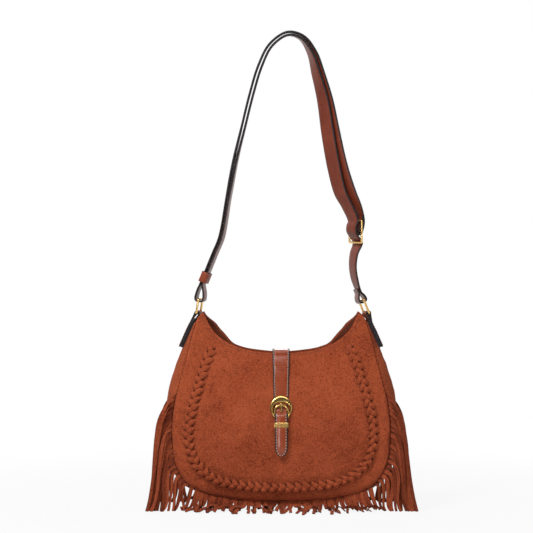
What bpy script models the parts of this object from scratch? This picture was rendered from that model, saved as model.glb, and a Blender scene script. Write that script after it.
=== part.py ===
"""Fringed suede shoulder bag, modelled in metres with +Z up and its front facing -Y.

The origin is on the floor under the middle of the bag. Two suede panels and a gusset make the
body, cut fringe is sewn into both seams, a plaited lace runs over the front panel, and one long
leather strap is folded round two rings and a slider and stands up over the mouth.
"""
import math

import bmesh
import bpy
from mathutils import Matrix, Vector
from mathutils.bvhtree import BVHTree

# Body outline: half of each curve as (distance from the middle, height).
SEAM_HALF = (
    (0.0, 0.0140), (0.0400, 0.0147), (0.0700, 0.0180), (0.1000, 0.0250), (0.1210, 0.0370),
    (0.1350, 0.0600), (0.1395, 0.0920), (0.1390, 0.1220), (0.1345, 0.1500), (0.1235, 0.1930),
    (0.1130, 0.2340), (0.1070, 0.2480), (0.1005, 0.2540),
)
MOUTH_HALF = (
    (0.0, 0.2010), (0.0245, 0.2026), (0.0500, 0.2070), (0.0745, 0.2180), (0.0870, 0.2290),
    (0.0945, 0.2410), (0.1005, 0.2540),
)
CORNER_HEIGHT = 0.040

# Half of the body's depth, at heights on the seam and along the mouth.
SEAM_DEPTH = ((0.014, 0.0400), (0.060, 0.0400), (0.100, 0.0380), (0.150, 0.0320), (0.200, 0.0230),
              (0.236, 0.0170), (0.254, 0.0150))
MOUTH_DEPTH_MIDDLE = 0.0165
PANEL_BULGE = 0.0150
GUSSET_CROWN = ((0.014, 0.0045), (0.025, 0.0060), (0.040, 0.0085), (0.060, 0.0100),
                (0.150, 0.0110), (0.185, 0.0105), (0.206, 0.0065), (0.222, 0.0035),
                (0.241, 0.0005))
GUSSET_TOP = 0.2405
GUSSET_TILT = 0.0007
GUSSET_STEP_OVER = 0.012
GUSSET_STEP = 0.008
PANEL_ROWS = 11
PANEL_COLUMNS = 16
PANEL_TRIM = 0.002
GUSSET_ROWS = 64
LINING_ROWS = 7
LINING_COLUMNS = 10

# Leather and suede thicknesses, and the gaps between pieces that lie on each other.
SUEDE = 0.0016
LINING_CLOTH = 0.0008
GAP = 0.0003
FACING_EDGE = 0.006
FACING_WIDTH = 0.13
LINING_INSET = 0.0029
LINING_SLACK = 0.0004
LINING_DEPTH = SUEDE / 2 + GAP + LINING_CLOTH / 2 + LINING_SLACK

# Fringe.
FRINGE_TOP = 0.1510
FRINGE_LEATHER = 0.0010
STRAND_PITCH = 0.0069
STRAND_WIDTH = 0.0052
STRAND_TIP_WIDTH = 0.0043
HEADER_INNER = 0.0015
HEADER_OUTER = 0.0009
FRINGE_SEAT = SUEDE / 2 + GAP + FRINGE_LEATHER / 2
FRINGE_LAYERS = 6
LAYER_PITCH = 0.0016
NEST_PITCH = 0.00125
FRINGE_OUTLINE = ((0.0, 0.1690), (0.048, 0.1645), (0.080, 0.1615), (0.117, 0.1575),
                  (0.140, 0.1490), (0.151, 0.1370))
FLOOR_SIDEWAYS = 0.55
FLOOR_LENGTH = 0.0360
FLOOR_SPLAY = 0.0060
FLOOR_BEND = 0.0080
FLARE_LOW = 0.0065
FLARE_GROWTH = 0.0260
FLARE_START = 0.040
FLARE_SPAN = 0.110

# Plaited lace on the front panel.
BRAID_HALF = (
    (0.0, 0.0310), (0.0370, 0.0320), (0.0620, 0.0350), (0.0830, 0.0415), (0.0995, 0.0510),
    (0.1115, 0.0660), (0.1170, 0.0826), (0.1187, 0.0980), (0.1170, 0.1190), (0.1125, 0.1390),
    (0.1057, 0.1625), (0.0983, 0.1870), (0.0885, 0.2095),
)
BRAID_PITCH = 0.0102
BRAID_WIDTH = 0.0158
BRAID_SLANT = 0.0052
BRAID_BASE = 0.0012
BRAID_RELIEF = 0.0024
BRAID_EDGE = 0.0021
BRAID_SEAT = 0.0013

# Hardware.
RING_WIRE = 0.0014
RING_HALF_WIDTH = 0.0118
RING_HALF_HEIGHT = 0.0093
RING_CORNER = 0.0016
LEFT_RING = Vector((-0.1057, 0.0, 0.2615))
LEFT_RING_LEAN = math.radians(8.0)
LEFT_RING_TURN = math.radians(-12.0)
RIGHT_RING = Vector((0.1075, 0.0, 0.2605))
RIGHT_RING_LEAN = math.radians(-22.0)
RIGHT_RING_TURN = math.radians(16.0)
TAB_LEATHER = 0.0016
TAB_WIDTH = 0.0185
TAB_HEIGHTS = (0.207, 0.217, 0.228, 0.238)
TAB_SEAT = 0.0011
TAB_LEG_GAP = 0.0011

# Shoulder strap.
STRAP_LEATHER = 0.0022
STRAP_WIDTH = 0.0200
STRAP_PAIR_GAP = 0.0010
STRAP_TAIL = 0.0160
LOOP_ROOM = 0.0020
LOOP_NECK = 0.0190
END_NECK = 0.0100
END_ROOM = 0.0016
LAY_ROOM = 0.0009
SLIDER_ROOM = STRAP_PAIR_GAP + 0.0002
KEEPER_LENGTH = 0.0140
KEEPER_LEATHER = 0.0013
KEEPER_CORNER = 0.0014
KEEPER_UP = 0.0290
SLIDER = Vector((0.0965, 0.0, 0.3580))
SLIDER_TURN = math.radians(38.0)
SLIDER_BAR = 0.0014
SLIDER_HALF_HEIGHT = 0.0142
SLIDER_HALF_WIDTH = 0.0122

# Front closure.
CLOSURE_LEATHER = 0.0016
CLOSURE_TOP_WIDTH = 0.0220
CLOSURE_END_WIDTH = 0.0160
CLOSURE_TIP = 0.0697
CLOSURE_ARCH = 0.0030
CLOSURE_BROW = 0.0009
CLOSURE_DIP = 0.0020
BUCKLE_TOP = 0.1496
BUCKLE_BOTTOM = 0.1177
BUCKLE_WIDTH = 0.0283
BUCKLE_DEPTH = 0.0030
CRESCENT_THIN = 0.0010
CRESCENT_SWELL = 0.0031
ARCH_HALF_WIDTH = 0.0101
ARCH_WIRE = 0.0011
ARCH_RISE = 0.0125
ARCH_BASE = -0.0060
ARCH_FOOT = -0.0108
PRONG_WIRE = 0.0009
PRONG_LENGTH = 0.0085
PRONG_TILT = 0.0022
BUCKLE_MIDDLE = (BUCKLE_TOP + BUCKLE_BOTTOM) / 2
CLOSURE_KEEPER_LENGTH = 0.0056
CLOSURE_KEEPER_METAL = 0.0009
CLOSURE_KEEPER_CLEARANCE = 0.0045
CLOSURE_KEEPER_HEIGHT = BUCKLE_BOTTOM - CLOSURE_KEEPER_CLEARANCE - CLOSURE_KEEPER_LENGTH / 2
SNAP_RADIUS = 0.0065
SNAP_CLEARANCE = 0.0076
SNAP_HEIGHT = CLOSURE_KEEPER_HEIGHT - CLOSURE_KEEPER_LENGTH / 2 - SNAP_CLEARANCE - SNAP_RADIUS
STEP_OUT_START = BUCKLE_MIDDLE - 0.0037
STEP_OUT_SPAN = 0.0095
BROW_START = 0.1800
BROW_SPAN = 0.0150
DIP_START = SNAP_HEIGHT - SNAP_RADIUS - 0.0030
DIP_SPAN = 0.0140
NARROW_START = BUCKLE_MIDDLE - 0.0017
NARROW_SPAN = 0.0080
BUCKLE_STAND = SUEDE / 2 + 2.4 * GAP + CLOSURE_LEATHER + BUCKLE_DEPTH / 2

COLLECTION_NAME = "fringed_suede_bag"


def clear_scene():
    """Removes whatever the file holds, so that the script starts empty."""
    for item in list(bpy.data.objects):
        bpy.data.objects.remove(item, do_unlink=True)


def material(name, colour, roughness, metallic=0.0):
    """A Principled material with one colour."""
    made = bpy.data.materials.new(name)
    made.use_nodes = True
    shader = made.node_tree.nodes["Principled BSDF"]
    shader.inputs["Base Color"].default_value = (*colour, 1.0)
    shader.inputs["Roughness"].default_value = roughness
    shader.inputs["Metallic"].default_value = metallic
    return made


def make_materials():
    """One material for each kind of leather, cloth and metal."""
    return {
        "suede": material("suede", (0.30, 0.062, 0.024), 0.95),
        "fringe": material("fringe_suede", (0.27, 0.056, 0.022), 0.95),
        "braid": material("braid_lace", (0.25, 0.050, 0.019), 0.92),
        "leather": material("smooth_leather", (0.24, 0.055, 0.022), 0.38),
        "strap": material("strap_leather", (0.21, 0.045, 0.020), 0.33),
        "facing": material("facing_leather", (0.10, 0.024, 0.012), 0.55),
        "lining": material("lining_cloth", (0.16, 0.060, 0.035), 0.90),
        "gold": material("antique_gold", (0.52, 0.33, 0.09), 0.28, 1.0),
        "brass": material("pale_gold", (0.75, 0.52, 0.20), 0.22, 1.0),
        "magnet": material("snap_metal", (0.55, 0.50, 0.42), 0.30, 1.0),
    }


def table(pairs, value):
    """Linear interpolation in a table of (position, value) pairs."""
    if value <= pairs[0][0]:
        return pairs[0][1]
    for (low, first), (high, second) in zip(pairs, pairs[1:]):
        if value <= high:
            return first + (second - first) * (value - low) / (high - low)
    return pairs[-1][1]


def slope(before, here, after):
    """The direction and speed of a centripetal curve at a point between two others."""
    first = max((here - before).length, 1e-6) ** 0.5
    second = max((after - here).length, 1e-6) ** 0.5
    return (here - before) / first - (after - before) / (first + second) + (after - here) / second


def smooth(points, steps):
    """A smooth curve through the points, with some steps on each span."""
    result = []
    last = len(points) - 1
    for index in range(last):
        start = points[index]
        end = points[index + 1]
        span = max((end - start).length, 1e-6) ** 0.5
        before = points[index - 1] if index > 0 else start * 2 - end
        after = points[index + 2] if index + 1 < last else end * 2 - start
        leave = slope(before, start, end) * span
        arrive = slope(start, end, after) * span
        for step in range(steps):
            t = step / steps
            square = t * t
            cube = square * t
            point = start * (2 * cube - 3 * square + 1) + leave * (cube - 2 * square + t)
            result.append(point + end * (3 * square - 2 * cube) + arrive * (cube - square))
    result.append(points[last].copy())
    return result


def spread(values, steps):
    """The values with evenly blended ones between them, to go with a smoothed curve."""
    result = []
    for first, second in zip(values, values[1:]):
        for step in range(steps):
            result.append(first.lerp(second, step / steps))
    result.append(values[-1].copy())
    return result


def mirrored(half):
    """The whole curve, left to right, from its right half in the XZ plane."""
    right = [Vector((x, 0.0, z)) for x, z in half]
    left = [Vector((-point.x, 0.0, point.z)) for point in reversed(right[1:])]
    return smooth(left + right, 8)


class Route:
    """A curve that is read by its length, from 0 at its start to 1 at its end."""

    def __init__(self, points):
        self.points = points
        self.marks = [0.0]
        for first, second in zip(points, points[1:]):
            self.marks.append(self.marks[-1] + (second - first).length)
        self.length = self.marks[-1]

    def at(self, share):
        """The point at a share of the length."""
        wanted = min(max(share, 0.0), 1.0) * self.length
        for index in range(len(self.points) - 1):
            if wanted <= self.marks[index + 1]:
                span = self.marks[index + 1] - self.marks[index]
                part = (wanted - self.marks[index]) / span
                return self.points[index].lerp(self.points[index + 1], part)
        return self.points[-1].copy()

    def tangent(self, share):
        """The direction of travel at a share of the length."""
        step = 0.004
        return (self.at(share + step) - self.at(share - step)).normalized()

    def share_at_height(self, height):
        """The share at which the route first comes down to a height."""
        count = 800
        for index in range(count + 1):
            if self.at(index / count).z <= height:
                return index / count
        return 0.5


SEAM = Route(mirrored(SEAM_HALF))
MOUTH = Route(mirrored(MOUTH_HALF))
LEFT_CORNER = SEAM.share_at_height(CORNER_HEIGHT)


def outward(share):
    """The direction away from the bag in the plane of the seam."""
    along = SEAM.tangent(share)
    return Vector((along.z, 0.0, -along.x))


def seam_place(share, inset, shallower):
    """A seam point as (x, half depth, z), moved in by an inset."""
    point = SEAM.at(share) - outward(share) * inset
    depth = table(SEAM_DEPTH, SEAM.at(share).z) - shallower
    return Vector((point.x, depth, point.z))


def mouth_place(share, shallower):
    """A mouth point as (x, half depth, z)."""
    point = MOUTH.at(share)
    peak = table(SEAM_DEPTH, MOUTH.at(0.0).z)
    rise = math.sin(math.pi * share) ** 0.8
    return Vector((point.x, peak + (MOUTH_DEPTH_MIDDLE - peak) * rise - shallower, point.z))


def panel_place(across, down, inset=0.0, shallower=0.0):
    """A panel point between the mouth, the side seams and the bottom seam."""
    left = seam_place(LEFT_CORNER * down, inset, shallower)
    right = seam_place(1.0 - LEFT_CORNER * down, inset, shallower)
    bottom = seam_place(LEFT_CORNER + (1.0 - 2 * LEFT_CORNER) * across, inset, shallower)
    corners = [seam_place(0.0, inset, shallower), seam_place(1.0, inset, shallower),
               seam_place(LEFT_CORNER, inset, shallower),
               seam_place(1.0 - LEFT_CORNER, inset, shallower)]
    left_slip = corners[0] - mouth_place(0.0, shallower)
    right_slip = corners[1] - mouth_place(1.0, shallower)
    top = mouth_place(across, shallower) + left_slip.lerp(right_slip, across)
    ruled_sides = left.lerp(right, across)
    ruled_ends = top.lerp(bottom, down)
    upper = corners[0].lerp(corners[1], across)
    lower = corners[2].lerp(corners[3], across)
    place = ruled_sides + ruled_ends - upper.lerp(lower, down)
    fullness = math.sin(math.pi * across) ** 0.75 * math.sin(math.pi * down ** 1.35) ** 0.8
    place.y += PANEL_BULGE * fullness
    return place


def flipped(place, side):
    """Turns (x, half depth, z) into a point on the front, side -1, or the back, side 1."""
    return Vector((place.x, place.y * side, place.z))


def new_mesh_object(name, bm, finish, places):
    """Makes an object from a bmesh and gives it its material."""
    mesh = bpy.data.meshes.new(name)
    bm.normal_update()
    bm.to_mesh(mesh)
    bm.free()
    mesh.materials.append(finish)
    made = bpy.data.objects.new(name, mesh)
    places["parts"].objects.link(made)
    return made


def add_solidify(made, thickness, offset=0.0):
    """Gives an open surface its thickness, in the middle unless told otherwise."""
    shell = made.modifiers.new("thickness", "SOLIDIFY")
    shell.thickness = thickness
    shell.offset = offset
    shell.use_even_offset = True
    shell.use_rim = True


def grid(bm, rows):
    """Joins rows of points into quads; None leaves a hole."""
    lines = [[bm.verts.new(point) for point in row] for row in rows]
    for upper, lower in zip(lines, lines[1:]):
        for index in range(len(upper) - 1):
            bm.faces.new((upper[index], lower[index], lower[index + 1], upper[index + 1]))


def shade(made, angle=50.0):
    """Smooth shading, with edges over the angle kept sharp."""
    made.data.shade_smooth()
    made.data.set_sharp_from_angle(angle=math.radians(angle))


def panel_rows(side, first, last, rows, columns, inset, shallower, trim=0.0):
    """Rows of points over a panel, from the mouth down."""
    result = []
    for row in range(rows + 1):
        down = first + (last - first) * row / rows
        line = []
        for column in range(columns + 1):
            across = trim + (1.0 - 2 * trim) * column / columns
            line.append(flipped(panel_place(across, down, inset, shallower), side))
        result.append(line)
    return result


def make_panel(name, side, places, finishes):
    """One of the two suede panels, a full sheet with its seam as its edge."""
    bm = bmesh.new()
    grid(bm, panel_rows(side, 0.0, 1.0, PANEL_ROWS, PANEL_COLUMNS, 0.0, 0.0, PANEL_TRIM))
    if side > 0:
        bmesh.ops.reverse_faces(bm, faces=bm.faces[:])
    made = new_mesh_object(name, bm, finishes["suede"], places)
    add_solidify(made, SUEDE)
    shade(made)
    return made


def seam_gap(height):
    """How far the gusset's edge stays behind the panel's, more where fringe lies between."""
    plain = SUEDE + GAP * 2
    fringed = FRINGE_SEAT + FRINGE_LEATHER / 2 + GAP + GUSSET_TILT
    blend = min(max((FRINGE_TOP + GUSSET_STEP_OVER - height) / GUSSET_STEP, 0.0), 1.0)
    return plain + (fringed - plain) * blend


def gusset_place(share, across):
    """A point of the gusset, which stands out between the two seams."""
    point = SEAM.at(share)
    depth = table(SEAM_DEPTH, point.z) - seam_gap(point.z)
    crown = table(GUSSET_CROWN, point.z) * (1.0 - abs(across) ** 2.2)
    place = point + outward(share) * crown
    return Vector((place.x, depth * across, place.z))


def make_gusset(places, finishes):
    """The long strip between the panels, from one peak round the bottom to the other."""
    start = SEAM.share_at_height(GUSSET_TOP)
    bm = bmesh.new()
    rows = []
    for row in range(GUSSET_ROWS + 1):
        share = start + (1.0 - 2 * start) * row / GUSSET_ROWS
        rows.append([gusset_place(share, across) for across in (-1.0, -0.55, 0.0, 0.55, 1.0)])
    grid(bm, rows)
    made = new_mesh_object("gusset", bm, finishes["suede"], places)
    add_solidify(made, SUEDE)
    shade(made)
    return made


def make_facing(name, side, places, finishes):
    """The leather strip inside the mouth, between the panel's edge and the lining."""
    bm = bmesh.new()
    grid(bm, panel_rows(side, FACING_EDGE, FACING_WIDTH, 2, LINING_COLUMNS, LINING_INSET,
                        LINING_DEPTH))
    made = new_mesh_object(name, bm, finishes["facing"], places)
    add_solidify(made, LINING_CLOTH)
    shade(made)
    return made


def make_lining(places, finishes):
    """The cloth bag inside: two sheets and a strip, sewn into one pocket open at the top."""
    first = FACING_WIDTH + FACING_EDGE
    bm = bmesh.new()
    for side in (-1, 1):
        grid(bm, panel_rows(side, first, 1.0, LINING_ROWS, LINING_COLUMNS, LINING_INSET,
                            LINING_DEPTH))
    drops = [first + (1.0 - first) * row / LINING_ROWS for row in range(LINING_ROWS)]
    shares = [LEFT_CORNER * drop for drop in drops]
    for column in range(LINING_COLUMNS + 1):
        shares.append(LEFT_CORNER + (1.0 - 2 * LEFT_CORNER) * column / LINING_COLUMNS)
    shares += [1.0 - share for share in reversed(shares[:LINING_ROWS])]
    rows = []
    for share in shares:
        edge = seam_place(share, LINING_INSET, LINING_DEPTH)
        rows.append([Vector((edge.x, edge.y * step / 2.0, edge.z)) for step in range(-2, 3)])
    grid(bm, rows)
    bmesh.ops.remove_doubles(bm, verts=bm.verts[:], dist=0.00005)
    bmesh.ops.recalc_face_normals(bm, faces=bm.faces[:])
    made = new_mesh_object("lining", bm, finishes["lining"], places)
    add_solidify(made, LINING_CLOTH)
    shade(made)
    return made


def strand_path(share, order, side):
    """Centre points and width directions of one fringe strand, from the seam to its tip."""
    away = outward(share)
    along = SEAM.tangent(share)
    axis = Vector((1.0, 0.0, 0.0))
    hand = math.copysign(1.0, away.x)
    sideways = abs(away.x)
    root = SEAM.at(share) + away * HEADER_OUTER
    depth = table(SEAM_DEPTH, SEAM.at(share).z) - FRINGE_SEAT
    foot = FRINGE_LEATHER / 2
    path = [(root, depth, along)]
    if sideways < FLOOR_SIDEWAYS:
        forward = FLOOR_LENGTH * (1.0 - sideways)
        splay = hand * FLOOR_SPLAY * sideways
        knee = Vector((root.x + splay * 0.5, 0.0, root.z * 0.38))
        path.append((knee, depth + FLOOR_BEND * 0.15, axis))
        path.append((Vector((root.x + splay, 0.0, foot)), depth + FLOOR_BEND, axis))
        path.append((Vector((root.x + splay, 0.0, foot)), depth + FLOOR_BEND + forward, axis))
    else:
        shift = (FRINGE_LAYERS - 1 - order % FRINGE_LAYERS) * LAYER_PITCH
        high = min(max((root.z - FLARE_START) / FLARE_SPAN, 0.0), 1.0)
        cap = abs(root.x) + FLARE_LOW + FLARE_GROWTH * high
        for fall, settled, turn in ((0.07, 0.70, 0.45), (0.32, 1.0, 1.0), (0.68, 1.0, 1.0),
                                    (1.0, 1.0, 1.0)):
            height = root.z + (foot - root.z) * fall
            line = min(table(FRINGE_OUTLINE, height) - order * NEST_PITCH, cap)
            reach = abs(root.x) + (line - abs(root.x)) * settled
            hang = table(SEAM_DEPTH, height) - FRINGE_SEAT + shift
            path.append((Vector((hand * reach, 0.0, height)), hang, along.lerp(axis, turn)))
    result = []
    for point, away_depth, width in path:
        result.append((Vector((point.x, away_depth * side, point.z)), width.normalized()))
    return result


def make_fringe(name, side, places, finishes):
    """A strip of suede cut into strands, its uncut edge held in the seam."""
    start = SEAM.share_at_height(FRINGE_TOP)
    length = (1.0 - 2 * start) * SEAM.length
    count = int(round(length / STRAND_PITCH))
    bm = bmesh.new()
    inner = []
    outer = []
    for index in range(count):
        middle = start + (1.0 - 2 * start) * (index + 0.5) / count
        half = STRAND_WIDTH / 2 / SEAM.length
        for share in (middle - half, middle + half):
            depth = table(SEAM_DEPTH, SEAM.at(share).z) - FRINGE_SEAT
            for line, step in ((inner, -HEADER_INNER), (outer, HEADER_OUTER)):
                point = SEAM.at(share) + outward(share) * step
                line.append(bm.verts.new((point.x, depth * side, point.z)))
    for index in range(len(inner) - 1):
        bm.faces.new((inner[index], outer[index], outer[index + 1], inner[index + 1]))
    for index in range(count):
        middle = start + (1.0 - 2 * start) * (index + 0.5) / count
        order = index if index < count / 2 else count - 1 - index
        path = strand_path(middle, order, side)
        edge = [outer[2 * index], outer[2 * index + 1]]
        for step, (centre, width) in enumerate(path[1:], 1):
            share = step / (len(path) - 1)
            half = (STRAND_WIDTH + (STRAND_TIP_WIDTH - STRAND_WIDTH) * share) / 2
            if width.x < 0:
                width = -width
            fresh = [bm.verts.new(centre - width * half), bm.verts.new(centre + width * half)]
            bm.faces.new((edge[0], fresh[0], fresh[1], edge[1]))
            edge = fresh
    bmesh.ops.recalc_face_normals(bm, faces=bm.faces[:])
    made = new_mesh_object(name, bm, finishes["fringe"], places)
    add_solidify(made, FRINGE_LEATHER)
    return made


def front_surface():
    """The front panel's middle surface, which pieces on it are laid against."""
    bm = bmesh.new()
    grid(bm, panel_rows(-1, 0.0, 1.0, PANEL_ROWS, PANEL_COLUMNS, 0.0, 0.0, PANEL_TRIM))
    bm.normal_update()
    tree = BVHTree.FromBMesh(bm)
    bm.free()
    return tree


FRONT = front_surface()


def on_front(x, z, lift):
    """A point over the front panel at x and z, lifted off it, and the panel's normal there."""
    hit, normal, _index, _distance = FRONT.ray_cast(Vector((x, -0.5, z)), Vector((0.0, 1.0, 0.0)))
    if normal.y > 0:
        normal = -normal
    return hit + normal * lift, normal


def make_braid(places, finishes):
    """A flat plait of suede lace, sewn to the front panel beside the seam."""
    route = Route(mirrored(BRAID_HALF))
    count = int(round(route.length / BRAID_PITCH))
    lift = SUEDE / 2 + BRAID_SEAT + BRAID_BASE / 2
    bm = bmesh.new()
    rows = []
    for index in range(count + 1):
        share = index / count
        line = []
        for column in (-1, 0, 1):
            skew = BRAID_SLANT / route.length * (1 - abs(column))
            moved = min(share + skew * 0.98, 1.0)
            along = route.tangent(min(max(moved, 0.005), 0.995))
            across = Vector((-along.z, 0.0, along.x))
            flat = route.at(moved) + across * (BRAID_WIDTH / 2 * column)
            point, _normal = on_front(flat.x, flat.z, lift)
            line.append(point)
        rows.append(line)
    grid(bm, rows)
    bmesh.ops.recalc_face_normals(bm, faces=bm.faces[:])
    bm.normal_update()
    if bm.faces[0].normal.y > 0:
        bmesh.ops.reverse_faces(bm, faces=bm.faces[:])
    top = bm.faces[:]
    bmesh.ops.solidify(bm, geom=top, thickness=BRAID_BASE)
    bm.normal_update()
    front = [face for face in bm.faces if face.normal.y < -0.5]
    bmesh.ops.inset_individual(bm, faces=front, thickness=BRAID_EDGE, depth=BRAID_RELIEF)
    bmesh.ops.recalc_face_normals(bm, faces=bm.faces[:])
    made = new_mesh_object("braid_lace", bm, finishes["braid"], places)
    shade(made, 35.0)
    return made


def ribbon(name, stations, thickness, finish, places, cyclic=False):
    """A flat strap from (centre, width direction, half width) stations."""
    bm = bmesh.new()
    rows = []
    for centre, width, half in stations:
        rows.append([centre - width * half, centre + width * half])
    grid(bm, rows)
    if cyclic:
        bm.verts.ensure_lookup_table()
        last = len(bm.verts) - 2
        bm.faces.new((bm.verts[last], bm.verts[0], bm.verts[1], bm.verts[last + 1]))
    bmesh.ops.recalc_face_normals(bm, faces=bm.faces[:])
    made = new_mesh_object(name, bm, finish, places)
    add_solidify(made, thickness)
    shade(made)
    return made


def square_to(width, along):
    """The width direction, made square to the direction of travel."""
    return (width - along * width.dot(along)).normalized()


class Frame:
    """A flat piece of hardware: its width, its long direction and the way out of its plane."""

    def __init__(self, centre, lean, turn):
        self.centre = centre
        self.along = Vector((math.sin(lean), 0.0, math.cos(lean)))
        flat = Vector((math.sin(turn), -math.cos(turn), 0.0))
        self.width = square_to(flat, self.along)
        self.normal = self.width.cross(self.along).normalized()
        if self.normal.x < 0:
            self.normal = -self.normal

    def at(self, along, normal, width=0.0):
        """A point from its distances along, off and across the piece."""
        return self.centre + self.along * along + self.normal * normal + self.width * width


LEFT_RING_FRAME = Frame(LEFT_RING, LEFT_RING_LEAN, LEFT_RING_TURN)
RIGHT_RING_FRAME = Frame(RIGHT_RING, RIGHT_RING_LEAN, RIGHT_RING_TURN)
SLIDER_FRAME = Frame(SLIDER, 0.0, SLIDER_TURN)


def rounded_outline(half_width, half_height, corner, steps):
    """Points round a rectangle with round corners, as (across, up) pairs."""
    result = []
    for quarter in range(4):
        across = (half_width - corner) * (1 if quarter in (0, 3) else -1)
        up = (half_height - corner) * (1 if quarter in (0, 1) else -1)
        for step in range(steps + 1):
            angle = math.pi / 2 * (quarter + step / steps)
            result.append((across + corner * math.cos(angle), up + corner * math.sin(angle)))
    return result


def wire(name, points, radius, cyclic, finish, places, resolution=2):
    """A round wire through the points, as a mesh with its caps welded."""
    curve = bpy.data.curves.new(name, "CURVE")
    curve.dimensions = "3D"
    curve.bevel_depth = radius
    curve.bevel_resolution = resolution
    curve.use_fill_caps = not cyclic
    spline = curve.splines.new("POLY")
    spline.points.add(len(points) - 1)
    for slot, point in zip(spline.points, points):
        slot.co = (*point, 1.0)
    spline.use_cyclic_u = cyclic
    guide = bpy.data.objects.new(name + "_curve", curve)
    places["parts"].objects.link(guide)
    graph = bpy.context.evaluated_depsgraph_get()
    mesh = bpy.data.meshes.new_from_object(guide.evaluated_get(graph))
    bpy.data.objects.remove(guide, do_unlink=True)
    mesh.name = name
    bm = bmesh.new()
    bm.from_mesh(mesh)
    bmesh.ops.remove_doubles(bm, verts=bm.verts[:], dist=0.00001)
    bmesh.ops.recalc_face_normals(bm, faces=bm.faces[:])
    bm.to_mesh(mesh)
    bm.free()
    mesh.materials.clear()
    mesh.materials.append(finish)
    made = bpy.data.objects.new(name, mesh)
    places["parts"].objects.link(made)
    shade(made, 60.0)
    return made


def join_by_union(keep, other, places):
    """Adds another closed piece to one, and keeps the result as its mesh."""
    union = keep.modifiers.new("union", "BOOLEAN")
    union.operation = "UNION"
    union.solver = "EXACT"
    union.object = other
    graph = bpy.context.evaluated_depsgraph_get()
    mesh = bpy.data.meshes.new_from_object(keep.evaluated_get(graph))
    keep.modifiers.clear()
    keep.data = mesh
    bpy.data.objects.remove(other, do_unlink=True)


def move_origin(made, point):
    """Puts the object's origin at a point and leaves its shape where it is."""
    made.data.transform(Matrix.Translation(-point))
    made.location = point


def make_ring(name, frame, places, finishes):
    """A rectangular wire ring, with its origin on the bar that the tab holds."""
    outline = rounded_outline(RING_HALF_WIDTH, RING_HALF_HEIGHT, RING_CORNER, 3)
    points = [frame.at(up, 0.0, across) for across, up in outline]
    made = wire(name, points, RING_WIRE, True, finishes["brass"], places)
    move_origin(made, frame.at(-RING_HALF_HEIGHT, 0.0))
    return made


def make_slider(places, finishes):
    """The three-bar slider that sets the strap's length."""
    frame = SLIDER_FRAME
    outline = rounded_outline(SLIDER_HALF_WIDTH, SLIDER_HALF_HEIGHT, RING_CORNER, 3)
    points = [frame.at(up, 0.0, across) for across, up in outline]
    made = wire("strap_slider", points, SLIDER_BAR, True, finishes["brass"], places)
    ends = [frame.at(0.0, 0.0, -SLIDER_HALF_WIDTH), frame.at(0.0, 0.0, SLIDER_HALF_WIDTH)]
    bar = wire("centre_bar", ends, SLIDER_BAR * 0.93, False, finishes["brass"], places)
    join_by_union(made, bar, places)
    shade(made, 50.0)
    return made


def make_tab(name, frame, hand, places, finishes):
    """A folded leather tab: two legs down the gusset and a loop round the ring's lower bar."""
    step = TAB_LEATHER + TAB_LEG_GAP
    near = SUEDE / 2 + TAB_SEAT + TAB_LEATHER / 2
    bar = frame.at(-RING_HALF_HEIGHT, 0.0)
    shares = []
    for height in TAB_HEIGHTS:
        share = SEAM.share_at_height(height)
        shares.append(share if hand < 0 else 1.0 - share)
    legs = []
    for offset in (near, near + step):
        leg = []
        for share in shares:
            leg.append(gusset_place(share, 0.0) + outward(share) * offset)
        legs.append(leg)
    round_bar = RING_WIRE + 2.4 * GAP + TAB_LEATHER / 2
    centre = bar
    travel = square_to(bar - legs[0][-1], frame.width)
    away = frame.width.cross(travel)
    if away.x * hand < 0:
        away = -away
    loop = []
    for degrees in (-20, 15, 52, 90, 128, 165, 200):
        angle = math.radians(degrees)
        loop.append(centre + (travel * math.sin(angle) - away * math.cos(angle)) * round_bar)
    level = Vector((0.0, -1.0, 0.0))
    path = smooth(legs[0] + loop + list(reversed(legs[1])), 2)
    widths = spread([level] * len(legs[0]) + [frame.width] * len(loop) + [level] * len(legs[1]), 2)
    stations = []
    for index, point in enumerate(path):
        along = (path[min(index + 1, len(path) - 1)] - path[max(index - 1, 0)]).normalized()
        stations.append((point, square_to(widths[index], along), TAB_WIDTH / 2))
    return ribbon(name, stations, TAB_LEATHER, finishes["leather"], places)


def eye(frame, bar_up, room, neck, half_gap):
    """Points of a strap round a bar, from the inner side to the outer side of the frame."""
    radius = RING_WIRE + 2 * GAP + STRAP_LEATHER / 2
    belly = radius + room
    return [
        frame.at(bar_up + neck, -half_gap),
        frame.at(bar_up + neck * 0.5, -belly * 0.85),
        frame.at(bar_up, -belly),
        frame.at(bar_up - radius * 0.72, -belly * 0.68),
        frame.at(bar_up - radius, 0.0),
        frame.at(bar_up - radius * 0.72, belly * 0.68),
        frame.at(bar_up, belly),
        frame.at(bar_up + neck * 0.5, belly * 0.85),
        frame.at(bar_up + neck, half_gap),
    ]


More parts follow.
